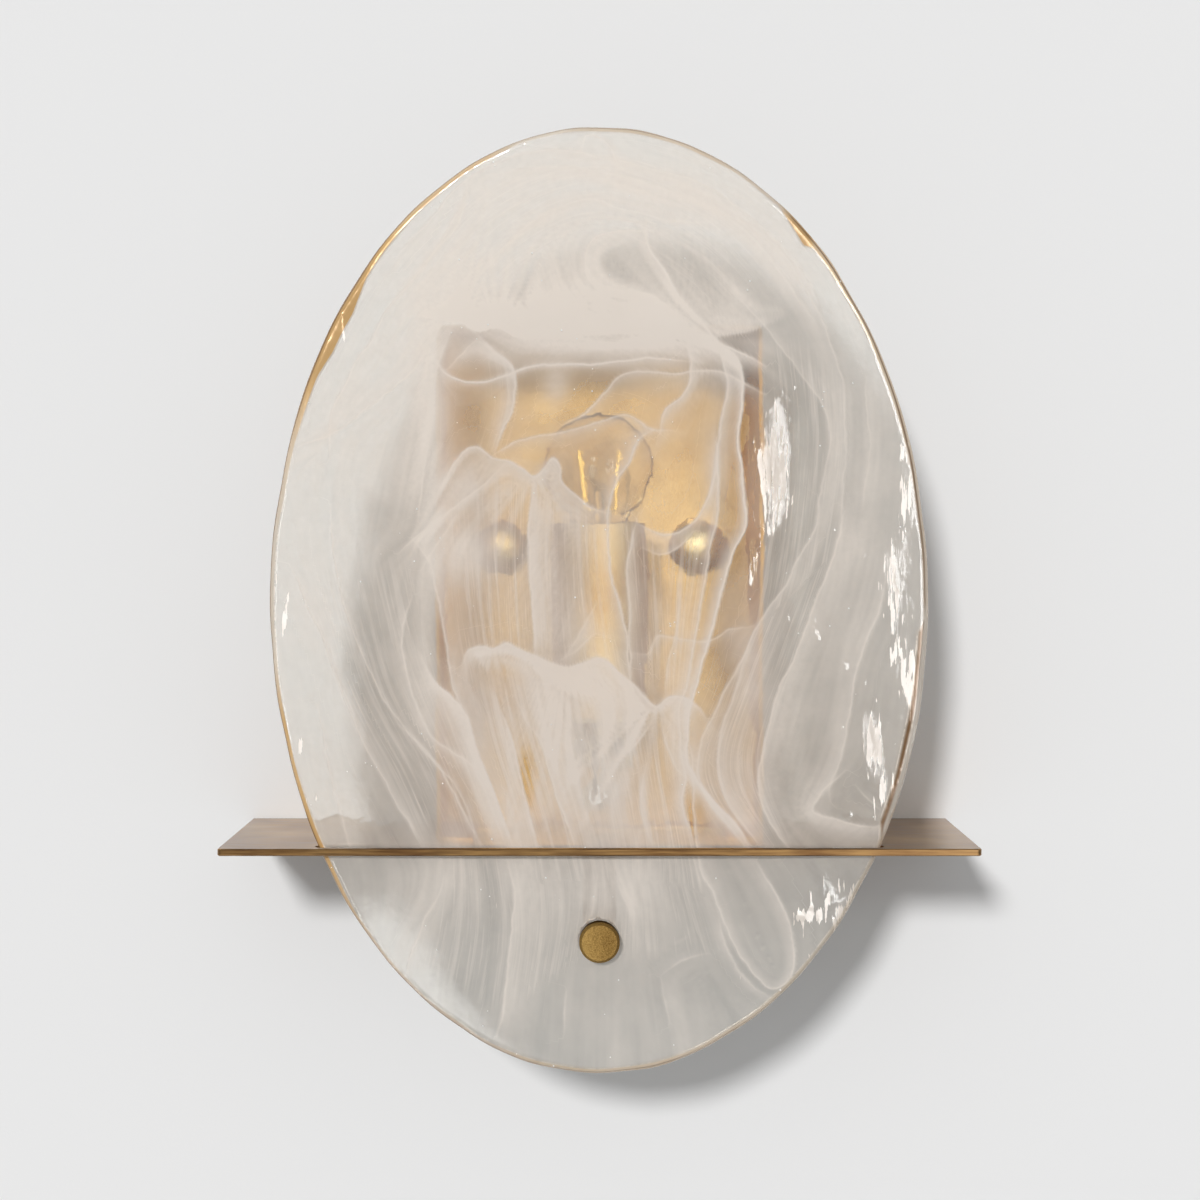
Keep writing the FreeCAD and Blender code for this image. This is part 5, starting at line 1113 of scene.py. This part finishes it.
def wispy_glass():
    """Clear kiln glass with white trails: gloss outside, the white scatters light within."""
    material, tree = new_material("kiln_glass_with_white_trails")
    names = ("milk", "streaks", "front", "crinkle", "open_part", "comb", "rim", "rim_line", "rim_light")
    stored = {name: add(tree, "ShaderNodeAttribute", attribute_name=name).outputs for name in names}
    comb, rim, rim_line, rim_light = (
        add(tree, "ShaderNodeSeparateXYZ", {0: stored[name]["Vector"]}).outputs for name in names[-4:])

    # the haze and the white clouds, ragged and drawn out along the combing
    place = place_in_mm(tree)
    drawn = add(tree, "ShaderNodeVectorMath", {0: stored["streaks"]["Vector"], 1: STREAK_SHARES},
                operation="DOT_PRODUCT").outputs["Value"]
    ragged = add(tree, "ShaderNodeTexNoise", {"Vector": place, "Scale": RAGGED_GRAIN, "Detail": 4.0})
    ragged = add(tree, "ShaderNodeMath", {0: ragged, 1: 0.3, 2: -0.15}, operation="MULTIPLY_ADD")
    smoke = add(tree, "ShaderNodeMath", {0: drawn, 1: 1.0}, operation="ADD")
    smoke = add(tree, "ShaderNodeMath", {0: ragged, 1: smoke}, operation="ADD")
    haze = add(tree, "ShaderNodeTexNoise", {"Vector": place, "Scale": HAZE_GRAIN, "Detail": 3.0})
    haze = add(tree, "ShaderNodeMapRange", {"Value": haze, "From Min": 0.3, "From Max": 0.7,
                                            "To Min": 0.36, "To Max": 0.48})
    haze = add(tree, "ShaderNodeMath", {0: drawn, 1: 0.25, 2: haze}, operation="MULTIPLY_ADD")
    white = add(tree, "ShaderNodeMath", {0: stored["milk"]["Fac"], 1: smoke, 2: haze},
                operation="MULTIPLY_ADD")
    white = add(tree, "ShaderNodeMath", {0: white, 1: 0.04}, operation="MAXIMUM")
    clear = add(tree, "ShaderNodeMath", {0: 1.0, 1: white}, operation="SUBTRACT", use_clamp=True)

    # the trails' edge lines
    drift = add(tree, "ShaderNodeTexNoise", {"Vector": place, "Scale": WAVER_GRAIN, "Detail": 3.0})
    waver = add(tree, "ShaderNodeMath", {0: drift, 1: 0.5}, operation="SUBTRACT")
    waver = add(tree, "ShaderNodeMath", {0: waver, 1: WAVER_REACH}, operation="MULTIPLY")
    profile = trail_profile()
    whites = []
    for layer in range(LAYERS):
        trail = add(tree, "ShaderNodeAttribute", attribute_name=f"trail_{layer}").outputs["Vector"]
        whites.append(add(tree, "ShaderNodeGroup", {"Trail": trail, "Waver": waver}, node_tree=profile))

    # the combed strands: two widths, long along the comb
    along = add(tree, "ShaderNodeMath", {0: comb["Y"], 1: STRAND_DRAW}, operation="MULTIPLY")
    strand_place = add(tree, "ShaderNodeCombineXYZ", {0: comb["X"], 1: along})
    broad = add(tree, "ShaderNodeTexNoise", {"Vector": strand_place, "Scale": BROAD_STRANDS,
                                             "Detail": 2.0})
    broad = add(tree, "ShaderNodeMapRange", {"Value": broad, "From Min": 0.50, "From Max": 0.66})
    fine = add(tree, "ShaderNodeTexNoise", {"Vector": strand_place, "Scale": FINE_STRANDS,
                                            "Detail": 3.0, "Roughness": 0.6})
    fine = add(tree, "ShaderNodeMapRange", {"Value": fine, "From Min": 0.54, "From Max": 0.66})
    fine = add(tree, "ShaderNodeMath", {0: fine, 1: 0.6}, operation="MULTIPLY")
    strands = add(tree, "ShaderNodeMath", {0: broad, 1: 0.9, 2: fine}, operation="MULTIPLY_ADD")
    whites.append(add(tree, "ShaderNodeMath", {0: strands, 1: comb["Z"]}, operation="MULTIPLY",
                      use_clamp=True))

    # a painted highlight: a bright line inside the rim's coloured band, broken here and there
    inside = add(tree, "ShaderNodeMath", {0: rim["X"], 1: rim_line["X"]}, operation="SUBTRACT")
    painted_gleam = inside
    for operation, amount in (("SUBTRACT", 0.25), ("DIVIDE", 0.3), ("ABSOLUTE", 0.0), ("POWER", 2.0),
                              ("MULTIPLY", -1.0), ("EXPONENT", 0.0)):
        painted_gleam = add(tree, "ShaderNodeMath", {0: painted_gleam, 1: amount}, operation=operation)
    broken = add(tree, "ShaderNodeTexNoise", {"Vector": place, "Scale": GLEAM_GRAIN, "Detail": 4.0,
                                              "Roughness": 0.7})
    broken = add(tree, "ShaderNodeMapRange", {"Value": broken, "From Min": 0.42, "From Max": 0.56})
    broken = add(tree, "ShaderNodeMath", {0: rim_light["Y"], 1: broken}, operation="MULTIPLY")
    whites.append(add(tree, "ShaderNodeMath", {0: painted_gleam, 1: broken}, operation="MULTIPLY",
                      use_clamp=True))

    # each layer of white leaves less clear; the rear face stays clear
    for layer_white in whites:
        rest = add(tree, "ShaderNodeMath", {0: 1.0, 1: layer_white}, operation="SUBTRACT")
        clear = add(tree, "ShaderNodeMath", {0: clear, 1: rest}, operation="MULTIPLY")
    density = add(tree, "ShaderNodeMath", {0: 1.0, 1: clear}, operation="SUBTRACT")
    density = add(tree, "ShaderNodeMath", {0: density, 1: stored["front"]["Fac"]}, operation="MULTIPLY",
                  use_clamp=True)

    # the skin's rolls and crinkles, and flat facets among these that lean to the right and flash, with a
    # painted white highlight where they do
    crinkle = stored["crinkle"]["Fac"]
    tines = add(tree, "ShaderNodeTexNoise", {"Vector": place_in_mm(tree, (1, 1, 0.13)),
                                             "Scale": TINE_GRAIN, "Detail": 4.0, "Distortion": 0.3})
    skin = add(tree, "ShaderNodeTexNoise", {"Vector": place, "Scale": SKIN_GRAIN, "Detail": 2.0})
    height = add(tree, "ShaderNodeMath", {0: crinkle, 1: 0.25}, operation="MULTIPLY")
    height = add(tree, "ShaderNodeMath", {0: tines, 1: height}, operation="MULTIPLY")
    height = add(tree, "ShaderNodeMath", {0: skin, 1: 0.30, 2: height}, operation="MULTIPLY_ADD")
    relief = add(tree, "ShaderNodeBump", {"Height": height, "Strength": 1.0, "Distance": MM})
    flash_facets_and_glint = add(tree, "ShaderNodeMath", {0: tines, 1: 2.2, 2: crinkle}, operation="MULTIPLY_ADD")
    flash_facets_and_glint = add(tree, "ShaderNodeMapRange", {"Value": flash_facets_and_glint, "From Min": 1.74, "From Max": 1.80})
    painted_glint = add(tree, "ShaderNodeMath", {0: flash_facets_and_glint, 1: stored["front"]["Fac"]},
                      operation="MULTIPLY")
    # painted highlight: where the facets flash, white is added to the glass
    density = add(tree, "ShaderNodeMath", {0: painted_glint, 1: 0.6, 2: density},
                  operation="MULTIPLY_ADD", use_clamp=True)
    across = add(tree, "ShaderNodeSeparateXYZ", {0: place}).outputs["X"]
    rightward = add(tree, "ShaderNodeMapRange", {"Value": across, "From Min": -20.0, "From Max": 20.0,
                                                 "To Min": 0.25, "To Max": 0.12})
    lean = add(tree, "ShaderNodeCombineXYZ", {0: rightward, 2: 0.08})
    facet = add(tree, "ShaderNodeVectorMath", {0: lean, 3: flash_facets_and_glint}, operation="SCALE")
    relief = add(tree, "ShaderNodeVectorMath", {0: relief, 1: facet}, operation="ADD")
    relief = add(tree, "ShaderNodeVectorMath", {0: relief}, operation="NORMALIZE")

    clear_glass = add(tree, "ShaderNodeBsdfPrincipled", {
        "Base Color": linear("#F9FCFA"), "Roughness": 0.02, "IOR": 1.5, "Transmission Weight": 1.0,
        "Normal": relief})
    white_glass = add(tree, "ShaderNodeBsdfPrincipled", {
        "Base Color": linear("#F7EEE4"), "Roughness": 0.06, "IOR": 1.5, "Normal": relief})
    lit_through = add(tree, "ShaderNodeBsdfTranslucent", {"Color": linear("#F3EAE0")})
    milky = add(tree, "ShaderNodeMixShader", {0: 0.34, 1: white_glass, 2: lit_through})
    body = add(tree, "ShaderNodeMixShader", {0: density, 1: clear_glass, 2: milky})

    # the rim's coloured band, brown to gold to pale, and its dark line
    amber = add(tree, "ShaderNodeValToRGB", {0: rim["Z"]})
    amber.color_ramp.elements[0].color = linear("#8A6A45")
    amber.color_ramp.elements[1].color = linear("#DDD3C4")
    middle_tone = amber.color_ramp.elements.new(0.5)
    middle_tone.color = linear("#D2AA70")
    dark_line = rim["X"]
    for operation, amount in (("SUBTRACT", rim_line["Y"]), ("DIVIDE", rim_line["Z"]), ("ABSOLUTE", 0.0),
                              ("POWER", 3.0), ("MULTIPLY", -1.0), ("EXPONENT", 0.0)):
        dark_line = add(tree, "ShaderNodeMath", {0: dark_line, 1: amount}, operation=operation)
    dark_line = add(tree, "ShaderNodeMath", {0: dark_line, 1: rim_light["X"]}, operation="MULTIPLY",
                    use_clamp=True)
    shaded = add(tree, "ShaderNodeMix", {0: dark_line, 6: amber, 7: linear("#6C4E2E")},
                 data_type="RGBA")
    fill = add(tree, "ShaderNodeMapRange", {"Value": inside, "From Min": -0.15, "From Max": 0.15,
                                            "To Min": 1.0, "To Max": 0.0})
    fill = add(tree, "ShaderNodeMath", {0: fill, 1: rim["Y"]}, operation="MULTIPLY", use_clamp=True)
    rim_band_share = add(tree, "ShaderNodeMath", {0: fill, 1: dark_line}, operation="MAXIMUM")
    rim_band_skin = add(tree, "ShaderNodeBsdfPrincipled", {
        "Base Color": shaded.outputs[2], "Metallic": 0.15, "Roughness": 0.22, "IOR": 1.5,
        "Normal": relief})
    whole = add(tree, "ShaderNodeMixShader", {0: rim_band_share, 1: body, 2: rim_band_skin})

    # The lamps' light finds the glass pale before the housing's open front and dense beside it, and
    # mirrored and scattered light finds it pale. A view through glass counts as glossy too, so only
    # what was mirrored and not bent is taken here.
    ray = add(tree, "ShaderNodeLightPath").outputs
    mirrored = add(tree, "ShaderNodeMath", {0: ray["Is Glossy Ray"], 1: ray["Is Transmission Ray"]},
                   operation="SUBTRACT", use_clamp=True)
    open_part = add(tree, "ShaderNodeMath", {0: stored["open_part"]["Fac"], 1: mirrored},
                    operation="MAXIMUM")
    thin_tint = add(tree, "ShaderNodeMix", {0: density, 6: linear("#F2F1EE"), 7: linear("#C9C3BA")},
                    data_type="RGBA")
    dense_tint = add(tree, "ShaderNodeMix", {0: density, 6: linear("#8A8D8B"), 7: linear("#45423E")},
                     data_type="RGBA")
    shade_tint = add(tree, "ShaderNodeMix", {0: open_part, 6: dense_tint.outputs[2],
                                             7: thin_tint.outputs[2]}, data_type="RGBA")
    shade_tint = add(tree, "ShaderNodeMix", {0: ray["Is Diffuse Ray"], 6: shade_tint.outputs[2],
                                             7: linear("#F0F0EE")}, data_type="RGBA")
    passing = add(tree, "ShaderNodeBsdfTransparent", {"Color": shade_tint.outputs[2]})
    later_ray = add(tree, "ShaderNodeMath", {0: mirrored, 1: ray["Is Diffuse Ray"]}, operation="MAXIMUM")
    later_ray = add(tree, "ShaderNodeMath", {0: ray["Is Shadow Ray"], 1: later_ray}, operation="MAXIMUM")
    out = add(tree, "ShaderNodeMixShader", {0: later_ray, 1: whole, 2: passing})
    add(tree, "ShaderNodeOutputMaterial", {"Surface": out})
    return material


# The part of the glass that stands before the housing's open front, a little larger than it.
panel_low, panel_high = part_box("back_panel")
OPEN_SOFT = 6.0  # mm over which it ends
OPEN_BESIDE, OPEN_ABOVE = 4, 6  # mm that it is larger
gap_across = (panel_high.x / MM + OPEN_BESIDE - np.abs(glass_spots[:, 0])) / OPEN_SOFT
gap_up = (panel_high.z - GLASS_MIDDLE) / MM + OPEN_ABOVE - glass_spots[:, 1]
gap_down = glass_spots[:, 1] - (shelf_high.z - GLASS_MIDDLE) / MM
open_part = np.clip(np.minimum(gap_across, np.minimum(gap_up, gap_down) / OPEN_SOFT), 0, 1)
open_store = glass.data.attributes.new("open_part", "FLOAT", "POINT")
open_store.data.foreach_set("value", open_part)
front_store = glass.data.attributes.new("front", "FLOAT", "POINT")
front_store.data.foreach_set("value", glass_front.astype(float))
glass.data.materials.clear()
glass.data.materials.append(wispy_glass())
glass.data.shade_smooth()
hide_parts("glass_shell")
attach(glass, "fixture")

# ---- Seeds in the glass ----
# Air bubbles that rose in the kiln and burst or stopped at the front of the glass. Each is a tiny
# dome painted white, a painted highlight for the glint that a clear bubble catches.


def plastic(name, dark, light, rough, mottle_mm=2.0, dent=0.01, metallic=0.0):
    """A moulded or painted skin with a faint mottle."""
    material, tree = new_material(name)
    mottle = add(tree, "ShaderNodeTexNoise", {"Vector": place_in_mm(tree), "Scale": 1 / mottle_mm,
                                              "Detail": 3.0}).outputs["Fac"]
    tone = add(tree, "ShaderNodeMapRange", {"Value": mottle, "From Min": 0.35, "From Max": 0.65})
    colour = add(tree, "ShaderNodeMix", {0: tone, 6: linear(dark), 7: linear(light)},
                 data_type="RGBA")
    shine = add(tree, "ShaderNodeMapRange", {"Value": mottle, "From Min": 0.3, "From Max": 0.7,
                                             "To Min": rough - 0.04, "To Max": rough + 0.04})
    relief = add(tree, "ShaderNodeBump", {"Height": mottle, "Strength": 1.0, "Distance": dent * MM})
    skin = add(tree, "ShaderNodeBsdfPrincipled", {"Base Color": colour.outputs[2],
                                                  "Metallic": metallic, "Roughness": shine,
                                                  "Normal": relief})
    add(tree, "ShaderNodeOutputMaterial", {"Surface": skin})
    return material


SEED_SIZES = {"Small": 0.16 * MM, "Large": 0.42 * MM, "Per square metre": 9000.0}
SEED_DRAW = 5
SEED_CLUSTER = 14.0  # mm across a cluster

# painted highlight: the bubbles are opaque white instead of clear
bubble_painted_glint = plastic("bubble_painted_white", "#F1EEE8", "#FFFFFF", 0.08, mottle_mm=0.5, dent=0.0)
tree = new_geometry_tree("glass_seeds", SEED_SIZES)
given = add(tree, "NodeGroupInput").outputs
on_front = add(tree, "GeometryNodeInputNamedAttribute", {"Name": "front"}, data_type="FLOAT")
is_front = add(tree, "FunctionNodeCompare", {0: on_front.outputs["Attribute"], 1: 0.9},
               data_type="FLOAT", operation="GREATER_THAN")
cluster = add(tree, "ShaderNodeTexNoise", {"Scale": 1 / (SEED_CLUSTER * MM), "Detail": 2.0})
crowd = add(tree, "ShaderNodeMapRange", {"Value": cluster.outputs["Fac"], "From Min": 0.5,
                                         "From Max": 0.75})
density = add(tree, "ShaderNodeMath", {0: crowd, 1: given["Per square metre"]}, operation="MULTIPLY")
scatter = add(tree, "GeometryNodeDistributePointsOnFaces", {
    "Mesh": given["Mesh"], "Selection": is_front, "Density": density, "Seed": SEED_DRAW})
ball = add(tree, "GeometryNodeMeshIcoSphere", {"Radius": 1.0, "Subdivisions": 2})
sizes = add(tree, "FunctionNodeRandomValue", {2: given["Small"], 3: given["Large"],
                                              "Seed": SEED_DRAW + 1}, data_type="FLOAT")
bubbles = add(tree, "GeometryNodeInstanceOnPoints", {
    "Points": scatter.outputs["Points"], "Instance": ball.outputs["Mesh"],
    "Scale": sizes.outputs[1]})
real = add(tree, "GeometryNodeRealizeInstances", {0: bubbles})
skinned = add(tree, "GeometryNodeSetMaterial", {"Geometry": real, "Material": bubble_painted_glint})
add(tree, "NodeGroupOutput", {"Mesh": skinned})

seeds = grown("glass_seeds", glass.data.copy(), tree, SEED_SIZES, bubble_painted_glint)
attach(seeds, "fixture")

# ---- Pads in the slot, sleeve and washers ----
# Clear silicone pads keep the glass off the brass, and nylon and rubber line the knob's hole. All are
# moulded, so their colour is even but for a faint mottle, and only the rubber is dull and black.
dress(plastic("clear_silicone", "#C9CBC9", "#DADCDA", 0.35), "slot_pads")
dress(plastic("natural_nylon", "#CFC4AC", "#DDD3BE", 0.4), "glass_sleeve", "knob_washer",
      "wire_bushing", "terminal_block")
dress(plastic("black_rubber", "#1B1B1B", "#2A2A2A", 0.6), "glass_rear_washer")

# ---- Knob ----
# A turned brass knob with a bevelled edge, whose threaded shank screws into the arm's bush. The fine
# turning marks leave it satin, darker than the housing.
knob_brass = metal("satin_turned_brass", "#684C24", "#AC8C52", 0.38, grain_mm=0.35, dent=0.03)
dress(knob_brass, "glass_knob")

# ---- Lampholder ----
# A spun brass cup, soft and pale, round a brown phenolic socket with its nickelled screw shell. A
# threaded nipple and two nuts hold it on the angle bracket.
spun_brass = metal("spun_brass", "#D2A660", "#F4D8A2", 0.60, grain=(1, 1, 0.2), grain_mm=0.6,
                   spread=0.06, dent=0.02)
dress(spun_brass, "lampholder_cup")
dress(plastic("brown_phenolic", "#2A1A12", "#3A261B", 0.35), "socket_body")
dress(metal("nickelled_brass", "#A9A59C", "#CFCBC2", 0.22), "socket_shell", "bulb_cap")

# ---- Lamp ----
# A clear globe lamp with yellow filament rods on a glass stem. Its cap is nickelled brass, with black
# glass round a soldered centre contact.


def lamp_glass():
    """Thin clear blown glass: it bends the view a little, and light passes it nearly unchanged."""
    material, tree = new_material("clear_blown_glass")
    swirl = add(tree, "ShaderNodeTexNoise", {"Vector": place_in_mm(tree), "Scale": 0.08})
    relief = add(tree, "ShaderNodeBump", {"Height": swirl.outputs["Fac"], "Strength": 1.0,
                                          "Distance": 0.2 * MM})
    clear = add(tree, "ShaderNodeBsdfPrincipled", {
        "Base Color": linear("#FDFBF7"), "Roughness": 0.01, "IOR": 1.2, "Transmission Weight": 1.0,
        "Normal": relief})
    passing = add(tree, "ShaderNodeBsdfTransparent", {"Color": linear("#F9F8F5")})
    ray = add(tree, "ShaderNodeLightPath").outputs
    mirrored = add(tree, "ShaderNodeMath", {0: ray["Is Glossy Ray"], 1: ray["Is Transmission Ray"]},
                   operation="SUBTRACT", use_clamp=True)
    shadow_or_mirror = add(tree, "ShaderNodeMath", {0: ray["Is Shadow Ray"], 1: mirrored},
                           operation="MAXIMUM")
    out = add(tree, "ShaderNodeMixShader", {0: shadow_or_mirror, 1: clear, 2: passing})
    add(tree, "ShaderNodeOutputMaterial", {"Surface": out})
    return material


dress(lamp_glass(), "bulb_envelope", "bulb_stem")
dress(plastic("yellow_phosphor", "#D9A93A", "#E8BE58", 0.6), "bulb_filaments")
dress(plastic("black_glass", "#0E0E10", "#19191B", 0.1), "bulb_insulator")
dress(metal("tin_solder", "#8F9194", "#B5B7B9", 0.3), "bulb_contact")

# ---- Leads ----
# Two stranded leads from the socket to the terminal block, black for live and white for neutral. Their
# drawn plastic skins have a low even shine.
dress(plastic("black_lead_skin", "#141414", "#202020", 0.4), "live_lead")
dress(plastic("white_lead_skin", "#DEDDD8", "#EDECE8", 0.4), "neutral_lead")
